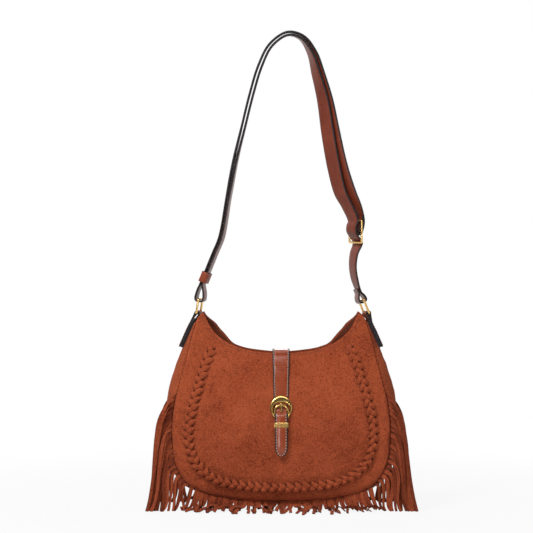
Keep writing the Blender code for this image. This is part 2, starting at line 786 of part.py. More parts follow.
# The pair of runs over the bag, as (x, z, turn of the width in degrees, gap between the runs).
LEFT_RUN = ((-0.0770, 0.3505, -12.0, 0.0010), (-0.0677, 0.4030, -8.0, 0.0013),
            (-0.0590, 0.4500, -4.0, 0.0018), (-0.0482, 0.4950, 0.0, 0.0022),
            (-0.0383, 0.5350, 0.0, 0.0024), (-0.0270, 0.5720, 0.0, 0.0024),
            (-0.0130, 0.5990, 0.0, 0.0020), (0.0085, 0.6135, 2.0, 0.0018),
            (0.0265, 0.6085, 8.0, 0.0020), (0.0400, 0.5890, 20.0, 0.0024),
            (0.0480, 0.5620, 34.0, 0.0030))
INNER_RUN = ((0.0542, 0.5270, 46.0), (0.0605, 0.4850, 54.0), (0.0682, 0.4420, 56.0),
             (0.0768, 0.4080, 52.0), (0.0860, 0.3900, 44.0))
OUTER_RUN = ((0.0600, 0.5270, 46.0), (0.0682, 0.4850, 54.0), (0.0780, 0.4420, 56.0),
             (0.0895, 0.4080, 52.0), (0.0975, 0.3900, 44.0))
LOWER_RUN = ((0.0945, 0.3290, 30.0), (0.0930, 0.3130, 26.0), (0.0955, 0.2960, 25.0))


def turned(degrees):
    """A level width direction, turned from the front-to-back line."""
    angle = math.radians(degrees)
    return Vector((math.sin(angle), -math.cos(angle), 0.0))


def pair_offset(points, side):
    """The outer run, side 1, or the inner run, side -1, of the pair."""
    result = []
    for index, (x, z, turn, gap) in enumerate(points):
        before = points[max(index - 1, 0)]
        after = points[min(index + 1, len(points) - 1)]
        along = Vector((after[0] - before[0], 0.0, after[1] - before[1])).normalized()
        normal = Vector((-along.z, 0.0, along.x))
        shift = (STRAP_LEATHER + gap) / 2 * side
        result.append((Vector((x, 0.0, z)) + normal * shift, turned(turn)))
    return result


def straight_run():
    """Points of the straight stretch above the left ring, where the keeper slides."""
    low, _along, _half_gap = keeper_line()
    x, z, turn, gap = LEFT_RUN[0]
    result = []
    for share in (0.10, 0.35, 0.68):
        point = low.lerp(Vector((x, 0.0, z)), share)
        result.append((point.x, point.z, turn, gap))
    return result


def strap_stations():
    """The whole strap, from its sewn end at the right ring to its sewn end at the slider."""
    right = RIGHT_RING_FRAME
    left = LEFT_RING_FRAME
    slider = SLIDER_FRAME
    half_gap = (STRAP_LEATHER + STRAP_PAIR_GAP) / 2
    top_bar = RING_HALF_HEIGHT
    across = SLIDER_BAR + SLIDER_ROOM + STRAP_LEATHER / 2
    lay = STRAP_LEATHER + LAY_ROOM
    path = []
    path.append((right.at(top_bar + STRAP_TAIL, -half_gap), right.width))
    for point in eye(right, top_bar, END_ROOM, END_NECK, half_gap):
        path.append((point, right.width))
    for x, z, turn in reversed(LOWER_RUN):
        path.append((Vector((x, 0.0, z)), turned(turn)))
    for up, off in ((-SLIDER_HALF_HEIGHT, across), (-SLIDER_HALF_HEIGHT / 2, -0.0018),
                    (0.0, -across - lay), (SLIDER_HALF_HEIGHT / 2, -across - lay),
                    (SLIDER_HALF_HEIGHT, -across - 0.0006)):
        path.append((slider.at(up, off), slider.width))
    for x, z, turn in reversed(INNER_RUN):
        path.append((Vector((x, 0.0, z)), turned(turn)))
    run = straight_run() + list(LEFT_RUN)
    path += list(reversed(pair_offset(run, -1)))
    loop = eye(left, top_bar, LOOP_ROOM, LOOP_NECK, half_gap)
    path += [(point, left.width) for point in reversed(loop)]
    path += pair_offset(run, 1)
    for x, z, turn in OUTER_RUN:
        path.append((Vector((x, 0.0, z)), turned(turn)))
    for up, off in ((SLIDER_HALF_HEIGHT, across + lay), (SLIDER_HALF_HEIGHT / 2, across + lay * 0.8),
                    (0.0, across),
                    (-across * 0.72, across * 0.70), (-across, 0.0),
                    (-across * 0.72, -across * 0.70), (0.0, -across),
                    (SLIDER_HALF_HEIGHT / 2, -0.0004), (SLIDER_HALF_HEIGHT, across),
                    (SLIDER_HALF_HEIGHT + 0.006, across + 0.0004)):
        path.append((slider.at(up, off), slider.width))
    return path


def make_strap(places, finishes):
    """The shoulder strap, one strip of leather about 1.1 m long."""
    path = strap_stations()
    points = smooth([point for point, _width in path], 2)
    widths = spread([width for _point, width in path], 2)
    stations = []
    for index, point in enumerate(points):
        along = (points[min(index + 1, len(points) - 1)] - points[max(index - 1, 0)]).normalized()
        stations.append((point, square_to(widths[index], along), STRAP_WIDTH / 2))
    return ribbon("shoulder_strap", stations, STRAP_LEATHER, finishes["strap"], places)


def keeper_line():
    """The straight stretch of the left runs that the keeper slides on."""
    half_gap = (STRAP_LEATHER + STRAP_PAIR_GAP) / 2
    low = LEFT_RING_FRAME.at(RING_HALF_HEIGHT + LOOP_NECK, 0.0)
    x, z, _turn, _gap = LEFT_RUN[0]
    high = Vector((x, 0.0, z))
    return low, (high - low).normalized(), half_gap


def make_keeper(places, finishes):
    """A leather loop round both runs of the strap, above the left ring."""
    low, along, half_gap = keeper_line()
    centre = low + along * (KEEPER_UP - LOOP_NECK)
    width = square_to(turned(LEFT_RUN[0][2]), along)
    normal = width.cross(along).normalized()
    across = STRAP_WIDTH / 2 + GAP * 2 + KEEPER_LEATHER / 2
    through = half_gap + STRAP_LEATHER / 2 + GAP * 3 + KEEPER_LEATHER / 2
    stations = []
    for side, up in rounded_outline(across, through, KEEPER_CORNER, 2):
        point = centre + width * side + normal * up
        stations.append((point, along, KEEPER_LENGTH / 2))
    made = ribbon("strap_keeper", stations, KEEPER_LEATHER, finishes["leather"], places, True)
    move_origin(made, centre)
    return made


def closure_offset(height):
    """How far the closure strap's middle stands off the front panel's middle, by height."""
    laid = SUEDE / 2 + GAP + CLOSURE_LEATHER / 2
    over = BUCKLE_STAND + BUCKLE_DEPTH * 0.36 + 1.5 * GAP + CLOSURE_LEATHER / 2
    rise = min(max((STEP_OUT_START - height) / STEP_OUT_SPAN, 0.0), 1.0)
    brow = min(max((height - BROW_START) / BROW_SPAN, 0.0), 1.0)
    dip = min(max((DIP_START - height) / DIP_SPAN, 0.0), 1.0)
    step_out = (over - laid) * rise * rise * (3 - 2 * rise)
    return laid + step_out + CLOSURE_BROW * brow - CLOSURE_DIP * dip


def closure_rest():
    """The height at which the closure strap's middle clears the curved edge of the mouth."""
    share = 0.5 + (CLOSURE_TOP_WIDTH / 2 + 2 * GAP) / MOUTH.length
    return MOUTH.at(share).z + 2 * GAP + CLOSURE_LEATHER / 2


def closure_path():
    """Middle points of the closure strap, from the back of the mouth to its tip."""
    edge = mouth_place(0.5, 0.0)
    top = closure_rest()
    path = []
    for reach, rise in ((1.0, 0.0), (0.5, 0.67), (0.0, 1.0), (-0.55, 0.90), (-1.06, 0.42)):
        path.append(Vector((0.0, edge.y * reach, top + CLOSURE_ARCH * rise)))
    heights = [0.1975, 0.190, 0.178, 0.164]
    for above in (0.0163, 0.0063, -0.0012, -0.0047, -0.0082, -0.0117, -0.0162, -0.0242):
        heights.append(BUCKLE_MIDDLE + above)
    lowest = heights[-1] - CLOSURE_TIP
    for share in (0.67, 0.43, 0.26, 0.145, 0.06, 0.0):
        heights.append(CLOSURE_TIP + lowest * share)
    for height in heights:
        point, _normal = on_front(0.0, height, closure_offset(height))
        path.append(point)
    return path


def closure_half_width(height):
    """Half of the closure strap's width, which narrows to a rounded point."""
    full = table(((CLOSURE_TIP, CLOSURE_END_WIDTH), (NARROW_START, CLOSURE_END_WIDTH * 1.075),
                  (NARROW_START + NARROW_SPAN, CLOSURE_TOP_WIDTH * 0.89),
                  (BROW_START + BROW_SPAN, CLOSURE_TOP_WIDTH)), height) / 2
    point = table(((0.0, 0.16), (0.0023, 0.50), (0.0058, 0.76), (0.0103, 0.93),
                   (0.0163, 1.0)), height - CLOSURE_TIP)
    return full * point


def closure_hinge():
    """The line along which the closure strap lifts, at the back of the mouth."""
    edge = mouth_place(0.5, 0.0)
    return Vector((0.0, edge.y, closure_rest()))


def make_closure_strap(places, finishes):
    """The strap from the back of the mouth, down the front and through the buckle."""
    stations = []
    for point in closure_path():
        half = closure_half_width(point.z)
        stations.append((point, Vector((1.0, 0.0, 0.0)), half))
    return ribbon("closure_strap", stations, CLOSURE_LEATHER, finishes["leather"], places)


def buckle_frame():
    """The buckle's middle and the directions up and out of it."""
    middle = (BUCKLE_TOP + BUCKLE_BOTTOM) / 2
    high, _normal = on_front(0.0, BUCKLE_TOP, BUCKLE_STAND)
    low, _other = on_front(0.0, BUCKLE_BOTTOM, BUCKLE_STAND)
    up = (high - low).normalized()
    out = Vector((0.0, -up.z, up.y))
    centre = (high + low) / 2
    centre.z = middle
    return centre, up, out


def make_buckle(places, finishes):
    """A crescent buckle, broad at the top, with a narrow arch inside it."""
    centre, up, out = buckle_frame()
    height = (BUCKLE_TOP - BUCKLE_BOTTOM) / 2
    steps = 24
    sides = 6
    bm = bmesh.new()
    rings = []
    for step in range(steps):
        angle = 2 * math.pi * step / steps
        rise = (1 + math.sin(angle)) / 2
        broad = CRESCENT_THIN + CRESCENT_SWELL * rise ** 1.6
        deep = BUCKLE_DEPTH * (0.36 + 0.14 * rise)
        reach_x = BUCKLE_WIDTH / 2 - broad
        reach_z = height - broad
        across = Vector((math.cos(angle), 0.0, 0.0)) + up * math.sin(angle)
        middle = centre + Vector((reach_x * math.cos(angle), 0.0, 0.0))
        middle += up * (reach_z * math.sin(angle))
        ring = []
        for side in range(sides):
            turn = 2 * math.pi * side / sides
            ring.append(bm.verts.new(middle + across * (broad * math.cos(turn)) +
                                     out * (deep * math.sin(turn))))
        rings.append(ring)
    for first, second in zip(rings, rings[1:] + rings[:1]):
        for side in range(sides):
            after = (side + 1) % sides
            bm.faces.new((first[side], first[after], second[after], second[side]))
    bmesh.ops.recalc_face_normals(bm, faces=bm.faces[:])
    made = new_mesh_object("closure_buckle", bm, finishes["gold"], places)
    points = [centre + Vector((ARCH_HALF_WIDTH, 0.0, 0.0)) + up * ARCH_FOOT]
    for step in range(13):
        angle = math.pi * step / 12
        side = ARCH_HALF_WIDTH * math.cos(angle)
        rise = ARCH_BASE + ARCH_RISE * math.sin(angle)
        points.append(centre + Vector((side, 0.0, 0.0)) + up * rise)
    points.append(centre + Vector((-ARCH_HALF_WIDTH, 0.0, 0.0)) + up * ARCH_FOOT)
    arch = wire("arch", points, ARCH_WIRE, False, finishes["gold"], places)
    join_by_union(made, arch, places)
    shade(made, 50.0)
    return made


def make_prong(places, finishes):
    """The short prong, hooked over the top of the buckle's arch."""
    centre, up, out = buckle_frame()
    arch_top = centre + up * (ARCH_BASE + ARCH_RISE)
    hook = ARCH_WIRE + 2 * GAP + PRONG_WIRE
    points = []
    for degrees in (20, 0):
        angle = math.radians(degrees)
        points.append(arch_top + up * (hook * math.sin(angle)) + out * (hook * math.cos(angle)))
    for share in (0.53, 1.0):
        reach = hook + PRONG_TILT * share
        points.append(arch_top - up * (PRONG_LENGTH * share) + out * reach)
    return wire("closure_prong", points, PRONG_WIRE, False, finishes["gold"], places)


def make_closure_keeper(places, finishes):
    """The flat metal loop that holds the strap below the buckle."""
    height = CLOSURE_KEEPER_HEIGHT
    middle, _normal = on_front(0.0, height, closure_offset(height))
    above, _other = on_front(0.0, height + 0.003, closure_offset(height + 0.003))
    along = (above - middle).normalized()
    out = Vector((0.0, -along.z, along.y))
    metal = CLOSURE_KEEPER_METAL
    across = closure_half_width(height) + GAP * 2 + metal / 2
    through = CLOSURE_LEATHER / 2 + GAP * 1.3 + metal / 2
    stations = []
    for side, up in rounded_outline(across, through, CLOSURE_KEEPER_METAL, 2):
        point = middle + Vector((side, 0.0, 0.0)) + out * up
        stations.append((point, along, CLOSURE_KEEPER_LENGTH / 2))
    return ribbon("closure_keeper", stations, metal, finishes["gold"], places, True)


def disc(name, height, low, high, radius, finish, places):
    """A round disc on the front panel, between two distances off its middle surface."""
    base, normal = on_front(0.0, height, 0.0)
    turn = normal.to_track_quat("Z", "Y").to_matrix().to_4x4()
    matrix = Matrix.Translation(base + normal * (low + high) / 2) @ turn
    bm = bmesh.new()
    bmesh.ops.create_cone(bm, cap_ends=True, segments=24, radius1=radius, radius2=radius,
                          depth=high - low, matrix=matrix)
    made = new_mesh_object(name, bm, finish, places)
    shade(made, 40.0)
    return made


def make_snap(places, finishes):
    """The magnetic snap: a socket on the panel and a stud on the back of the strap."""
    floor = SUEDE / 2 + GAP * 1.3
    ceiling = closure_offset(SNAP_HEIGHT) - CLOSURE_LEATHER / 2 - GAP * 1.3
    split = floor + (ceiling - floor) * 0.52
    disc("snap_socket", SNAP_HEIGHT, floor, split - GAP / 2, SNAP_RADIUS, finishes["magnet"], places)
    return disc("snap_stud", SNAP_HEIGHT, split + GAP / 2, ceiling, SNAP_RADIUS * 0.9,
                finishes["magnet"], places)


def hang_on_hinge(pieces, places):
    """Parents the closure's pieces to an empty on the line that they lift about."""
    hinge = closure_hinge()
    empty = bpy.data.objects.new("closure_hinge_line", None)
    empty.location = hinge
    places["parts"].objects.link(empty)
    for piece in pieces:
        piece.data.transform(Matrix.Translation(-hinge))
        piece.parent = empty


def build():
    """Makes every sub-part of the bag."""
    clear_scene()
    parts = bpy.data.collections.new(COLLECTION_NAME)
    bpy.context.scene.collection.children.link(parts)
    places = {"parts": parts}
    finishes = make_materials()
    make_panel("front_panel", -1, places, finishes)
    make_panel("back_panel", 1, places, finishes)
    make_gusset(places, finishes)
    make_facing("facing_front", -1, places, finishes)
    make_facing("facing_back", 1, places, finishes)
    make_lining(places, finishes)
    make_fringe("fringe_front", -1, places, finishes)
    make_fringe("fringe_back", 1, places, finishes)
    make_braid(places, finishes)
    make_ring("ring_left", LEFT_RING_FRAME, places, finishes)
    make_ring("ring_right", RIGHT_RING_FRAME, places, finishes)
    make_tab("side_tab_left", LEFT_RING_FRAME, -1, places, finishes)
    make_tab("side_tab_right", RIGHT_RING_FRAME, 1, places, finishes)
    make_strap(places, finishes)
    make_keeper(places, finishes)
    make_slider(places, finishes)
    closure = [
        make_closure_strap(places, finishes),
        make_buckle(places, finishes),
        make_prong(places, finishes),
        make_closure_keeper(places, finishes),
        make_snap(places, finishes),
    ]
    hang_on_hinge(closure, places)


build()
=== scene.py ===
"""Dresses the fringed suede bag: fine surfaces, stitching, materials, light and camera.

Lengths are metres in the model's own frame: +Z up, front facing -Y, the floor at z = 0.
The outline tables repeat the model's driving curves, so that every piece sits where its solid is.
"""

import math
import random
from bisect import bisect_right

import bmesh
import bpy
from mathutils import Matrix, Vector, noise
from mathutils.bvhtree import BVHTree


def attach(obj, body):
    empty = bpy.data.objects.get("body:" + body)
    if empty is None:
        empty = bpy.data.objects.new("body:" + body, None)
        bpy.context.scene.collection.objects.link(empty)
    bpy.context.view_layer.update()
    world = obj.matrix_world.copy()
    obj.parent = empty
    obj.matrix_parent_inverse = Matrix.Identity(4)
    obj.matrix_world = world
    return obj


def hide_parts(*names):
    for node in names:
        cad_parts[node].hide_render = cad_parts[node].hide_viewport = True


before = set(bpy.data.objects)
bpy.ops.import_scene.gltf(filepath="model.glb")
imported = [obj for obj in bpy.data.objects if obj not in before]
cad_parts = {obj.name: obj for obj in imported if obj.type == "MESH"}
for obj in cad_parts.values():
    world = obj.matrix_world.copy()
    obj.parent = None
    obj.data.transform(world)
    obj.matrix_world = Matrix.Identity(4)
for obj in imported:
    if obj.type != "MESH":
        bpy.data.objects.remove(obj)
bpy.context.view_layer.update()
DICE = random.Random(7)

# Outline of the body: half of each curve as (distance from the middle, height).
SEAM_HALF = (
    (0.0, 0.0140), (0.0400, 0.0147), (0.0700, 0.0180), (0.1000, 0.0250), (0.1210, 0.0370),
    (0.1350, 0.0600), (0.1395, 0.0920), (0.1390, 0.1220), (0.1345, 0.1500), (0.1235, 0.1930),
    (0.1130, 0.2340), (0.1070, 0.2480), (0.1005, 0.2540),
)
MOUTH_HALF = (
    (0.0, 0.2010), (0.0245, 0.2026), (0.0500, 0.2070), (0.0745, 0.2180), (0.0870, 0.2290),
    (0.0945, 0.2410), (0.1005, 0.2540),
)
BRAID_HALF = (
    (0.0, 0.0310), (0.0370, 0.0320), (0.0620, 0.0350), (0.0830, 0.0415), (0.0995, 0.0510),
    (0.1115, 0.0660), (0.1170, 0.0826), (0.1187, 0.0980), (0.1170, 0.1190), (0.1125, 0.1390),
    (0.1057, 0.1625), (0.0983, 0.1870), (0.0885, 0.2095),
)
CORNER_HEIGHT = 0.040
SEAM_DEPTH = ((0.014, 0.0400), (0.060, 0.0400), (0.100, 0.0380), (0.150, 0.0320), (0.200, 0.0230),
              (0.236, 0.0170), (0.254, 0.0150))
MOUTH_DEPTH_MIDDLE = 0.0165
PANEL_BULGE = 0.0150
PANEL_TRIM = 0.002
GUSSET_CROWN = ((0.014, 0.0045), (0.025, 0.0060), (0.040, 0.0085), (0.060, 0.0100),
                (0.150, 0.0110), (0.185, 0.0105), (0.206, 0.0065), (0.222, 0.0035),
                (0.241, 0.0005))
GUSSET_TOP = 0.2405
SUEDE = 0.0016
LINING_CLOTH = 0.0008
GAP = 0.0003
FACING_WIDTH = 0.13
LINING_INSET = 0.0029
LINING_DEPTH = SUEDE / 2 + GAP + LINING_CLOTH / 2 + 0.0004
FACING_START = 0.006
PIPING = 0.00055
MOUTH_STITCHES = 0.0185
SIDES = ((-1, "front"), (1, "back"))
ACROSS = Vector((1.0, 0.0, 0.0))

FRINGE_TOP = 0.1510
FRINGE_LEATHER = 0.0010
STRAND_PITCH = 0.0069
STRAND_WIDTH = 0.0052
STRAND_TIP_WIDTH = 0.0043
HEADER_INNER = 0.0015
HEADER_OUTER = 0.0009
FRINGE_SEAT = SUEDE / 2 + GAP + FRINGE_LEATHER / 2
FRINGE_LAYERS = 6
LAYER_PITCH = 0.0016
NEST_PITCH = 0.00125
FRINGE_OUTLINE = ((0.0, 0.1690), (0.048, 0.1645), (0.080, 0.1615), (0.117, 0.1575),
                  (0.140, 0.1490), (0.151, 0.1370))
FLOOR_SIDEWAYS = 0.55
FLOOR_LENGTH = 0.0360

BRAID_PITCH = 0.0102
LEAF_BODY = ((0.0, 0.42), (0.10, 0.78), (0.28, 1.0), (0.48, 0.98), (0.68, 0.80), (0.86, 0.60),
             (0.95, 0.40), (1.0, 0.08))

RING_WIRE = 0.0014
RING_HALF_WIDTH = 0.0118
RING_HALF_HEIGHT = 0.0093
RING_CORNER = 0.0016
RING_PLATE = 0.0001
TAB_LEATHER = 0.0016
TAB_WIDTH = 0.0185
TAB_HEIGHTS = (0.207, 0.217, 0.228, 0.238)
TAB_STITCH_INSET = 0.0021
TAB_SEAT = 0.0011
TAB_LEG_GAP = 0.0011
STRAP_LEATHER = 0.0022
STRAP_WIDTH = 0.0200
STRAP_PAIR_GAP = 0.0010
STRAP_TAIL = 0.0160
LOOP_ROOM = 0.0020
KEEPER_LENGTH = 0.0140
KEEPER_LEATHER = 0.0013
KEEPER_UP = 0.0290
LOOP_NECK = 0.0190
END_NECK = 0.0100
SLIDER_BAR = 0.0014
SLIDER_HALF_HEIGHT = 0.0142
SLIDER_HALF_WIDTH = 0.0122

CLOSURE_LEATHER = 0.0016
CLOSURE_TOP_WIDTH = 0.0220
CLOSURE_END_WIDTH = 0.0160
CLOSURE_TIP = 0.0715
CLOSURE_STITCH_INSET = 0.0019
BUCKLE_TOP = 0.1496
BUCKLE_BOTTOM = 0.1177
BUCKLE_WIDTH = 0.0283
BUCKLE_DEPTH = 0.0030
ARCH_HALF_WIDTH = 0.0088
ARCH_TOP = 0.0029
ARCH_HEIGHT = 0.0105
ARCH_FOOT = 0.0138
BUCKLE_MIDDLE = (BUCKLE_TOP + BUCKLE_BOTTOM) / 2
CLOSURE_KEEPER_HEIGHT = 0.1104
CLOSURE_KEEPER_LENGTH = 0.0056
SNAP_HEIGHT = 0.0935
SNAP_RADIUS = 0.0065
BUCKLE_STAND = SUEDE / 2 + 2.4 * GAP + CLOSURE_LEATHER + BUCKLE_DEPTH / 2

# Studio. A lamp has its place, the height that it points to, its size and its power.
CAMERA_LENS = 182.6
CAMERA_TARGET = Vector((-0.0188, 0.0, 0.3128))
CAMERA_RISE = math.radians(2.5)
CAMERA_DISTANCE = 3.5
WORLD_LIGHT = 0.16
FLOOR_GLOW = 0.90
FLOOR_REACH = 6.0
LAMPS = (
    ("key", (-1.1, -1.3, 2.3), 0.2, (0.5, 0.5), 39.0),
    ("fill", (1.7, -1.2, 0.9), 0.25, (0.8, 1.2), 5.0),
    ("top", (0.0, -1.15, 2.05), 0.2, (1.4, 0.35), 13.0),
    ("strip", (-0.5, -1.9, 0.5), 0.15, (0.12, 0.7), 5.0),
    ("rear", (-0.4, 1.8, 1.1), 0.3, (1.2, 1.2), 8.0),
)

# Stitching.
THREAD = 0.00030
STITCH = 0.0024
STITCH_PITCH = 0.0034


# Node materials

class Nodes:
    """The node tree of a material or the world, with short calls for the nodes used here."""

    def __init__(self, owner):
        owner.use_nodes = True
        self.owner = owner
        self.tree = owner.node_tree
        self.where = self.add("ShaderNodeTexCoord")
        self.place = self.where.outputs["Object"]

    def put(self, socket, value):
        """Links a socket to an output, or sets its value."""
        if isinstance(value, bpy.types.NodeSocket):
            self.tree.links.new(value, socket)
        else:
            socket.default_value = value

    def add(self, kind, sockets=None, **values):
        """Adds a node, sets its properties and fills its sockets."""
        made = self.tree.nodes.new(kind)
        for key, value in values.items():
            setattr(made, key, value)
        for key, value in (sockets or {}).items():
            self.put(made.inputs[key], value)
        return made

    def stretched(self, scale, turn=(0.0, 0.0, 0.0)):
        """The object's coordinates, scaled and turned."""
        sockets = {"Vector": self.place, "Scale": scale, "Rotation": turn}
        return self.add("ShaderNodeMapping", sockets).outputs["Vector"]

    def noise(self, scale, detail, rough, vector=None, warp=0.0):
        """A noise texture's value."""
        sockets = {"Vector": vector or self.place, "Scale": scale, "Detail": detail,
                   "Roughness": rough, "Distortion": warp}
        return self.add("ShaderNodeTexNoise", sockets).outputs["Fac"]

    def cells(self, scale):
        """Distance to the edge of leather-like cells."""
        return self.add("ShaderNodeTexVoronoi", {"Vector": self.place, "Scale": scale},
                        feature="DISTANCE_TO_EDGE").outputs["Distance"]

    def bands(self, scale, direction, warp=0.0):
        """A banded wave texture's value."""
        sockets = {"Vector": self.place, "Scale": scale, "Distortion": warp}
        return self.add("ShaderNodeTexWave", sockets, wave_type="BANDS",
                        bands_direction=direction).outputs["Fac"]

    def span(self, value, low, high, to_low=0.0, to_high=1.0, kind="LINEAR"):
        """Maps a range of a value onto another, clamped."""
        sockets = {"Value": value, "From Min": low, "From Max": high, "To Min": to_low, "To Max": to_high}
        return self.add("ShaderNodeMapRange", sockets, interpolation_type=kind).outputs["Result"]

    def math(self, operation, *values, clamp=False):
        """A Math node's value."""
        return self.add("ShaderNodeMath", dict(enumerate(values)), operation=operation,
                        use_clamp=clamp).outputs[0]

    def sum(self, first, second, weight=1.0):
        """first + second * weight."""
        return self.math("MULTIPLY_ADD", second, weight, first)

    def blend(self, share, first, second):
        """A mix of two colours."""
        colours = [value if isinstance(value, bpy.types.NodeSocket) else (*value, 1.0)
                   for value in (first, second)]
        return self.add("ShaderNodeMix", {0: share, 6: colours[0], 7: colours[1]},
                        data_type="RGBA").outputs[2]

    def finish(self, colour, rough, bump, depth, strength, **constants):
        """Plugs the colour, roughness and bump into the shader, and gives the material."""
        relief = self.add("ShaderNodeBump", {"Height": bump, "Strength": strength, "Distance": depth})
        inputs = {"Base Color": colour, "Roughness": rough, "Normal": relief.outputs["Normal"]}
        for key, value in constants.items():
            inputs[key.replace("_", " ")] = value
        for key, value in inputs.items():
            self.put(self.tree.nodes["Principled BSDF"].inputs[key], value)
        return self.owner


def suede(name, dark, middle, light, turn=0.5):
    """Brushed suede: nap patches, streaks, grain and a soft sheen."""
    n = Nodes(bpy.data.materials.new(name))
    streak = n.stretched((60.0, 60.0, 260.0), (0.0, turn, 0.0))
    patches = n.noise(15.0, 5.0, 0.62, warp=0.5)
    streaks = n.noise(1.0, 4.0, 0.6, streak)
    mottle = n.noise(115.0, 5.0, 0.68)
    grain = n.noise(560.0, 4.0, 0.75)
    nap = n.noise(1900.0, 2.0, 0.6)
    tone = n.blend(n.span(patches, 0.36, 0.62), middle, light)
    tone = n.blend(n.span(patches, 0.46, 0.28, 0.0, 0.28), tone, dark)
    tone = n.blend(n.span(streaks, 0.46, 0.70, 0.0, 0.28), tone, light)
    tone = n.blend(n.span(mottle, 0.50, 0.30, 0.0, 0.36), tone, dark)
    tone = n.blend(n.span(grain, 0.50, 0.36, 0.0, 0.70), tone, dark)
    tone = n.blend(n.span(grain, 0.50, 0.62, 0.0, 0.95), tone, light)
    bump = n.sum(n.sum(n.sum(0.0, mottle, 0.6), grain, 1.1), nap, 0.3)
    return n.finish(tone, n.span(mottle, 0.3, 0.7, 0.88, 1.0), bump, 0.0011, 0.9,
                    Sheen_Weight=0.16, Sheen_Roughness=0.45, Sheen_Tint=(0.95, 0.42, 0.24, 1.0),
                    Specular_IOR_Level=0.15)


def leather(name, dark, middle, light, rough, grain=900.0, coat=0.12):
    """Smooth leather with fine pores, soft pull-up marks and uneven gloss."""
    n = Nodes(bpy.data.materials.new(name))
    clouds = n.noise(38.0, 4.0, 0.55, warp=0.4)
    marks = n.noise(210.0, 3.0, 0.6)
    pores = n.cells(grain)
    tone = n.blend(n.span(clouds, 0.34, 0.68), middle, light)
    tone = n.blend(n.span(marks, 0.44, 0.30, 0.0, 0.55), tone, dark)
    tone = n.blend(n.span(pores, 0.07, 0.0, 0.0, 0.30), tone, dark)
    bump = n.sum(n.sum(0.0, n.span(pores, 0.0, 0.18), 1.0), marks, 0.8)
    gloss = n.span(n.sum(clouds, marks, 0.6), 0.5, 1.1, rough - 0.07, rough + 0.09)
    return n.finish(tone, gloss, bump, 0.00010, 0.4, Coat_Weight=coat, Coat_Roughness=0.14,
                    Specular_IOR_Level=0.30)


def edge_paint(name):
    """The dark paint that seals a cut leather edge."""
    n = Nodes(bpy.data.materials.new(name))
    lumps = n.noise(480.0, 3.0, 0.5)
    tone = n.blend(n.span(lumps, 0.35, 0.68), (0.012, 0.010, 0.012), (0.036, 0.029, 0.031))
    return n.finish(tone, n.span(lumps, 0.3, 0.7, 0.50, 0.66), lumps, 0.00003, 0.4,
                    Specular_IOR_Level=0.25)


def gold(name, bright, dark, rough, patina):
    """Plated metal with fine brushing and darker tarnish."""
    n = Nodes(bpy.data.materials.new(name))
    tarnish = n.noise(110.0, 2.0, 0.5, warp=0.6)
    brushed = n.noise(1.0, 3.0, 0.6, n.stretched((420.0, 420.0, 3000.0)))
    tone = n.blend(n.span(tarnish, 0.48, 0.72, 0.0, patina), bright, dark)
    gloss = n.span(n.sum(tarnish, brushed, 0.3), 0.4, 0.9, rough - 0.04, rough + 0.12)
    bump = n.sum(n.sum(0.0, brushed, 0.10), tarnish, 0.5)
    return n.finish(tone, gloss, bump, 0.00003, 0.4, Metallic=1.0)


def weave(name, dark, light, pitch):
    """Plain woven cloth: crossing threads with slubs."""
    n = Nodes(bpy.data.materials.new(name))
    scale = 0.314 / pitch
    cross = n.math("MULTIPLY", n.bands(scale, "X", 0.5), n.bands(scale, "Z", 0.5))
    slubs = n.noise(160.0, 4.0, 0.6)
    tone = n.blend(n.span(n.sum(cross, slubs, 0.6), 0.2, 0.9), dark, light)
    return n.finish(tone, n.span(slubs, 0.3, 0.7, 0.82, 0.96), n.sum(cross, slubs, 0.5), 0.0003,
                    0.6, Sheen_Weight=0.2, Sheen_Roughness=0.5)


def thread(name, dark, light):
    """Twisted waxed sewing thread."""
    n = Nodes(bpy.data.materials.new(name))
    twist = n.bands(620.0, "DIAGONAL")
    fuzz = n.noise(1500.0, 2.0, 0.5)
    tone = n.blend(n.span(n.sum(twist, fuzz, 0.6), 0.2, 1.1), dark, light)
    return n.finish(tone, n.span(fuzz, 0.3, 0.7, 0.55, 0.75), twist, 0.0001, 0.5)


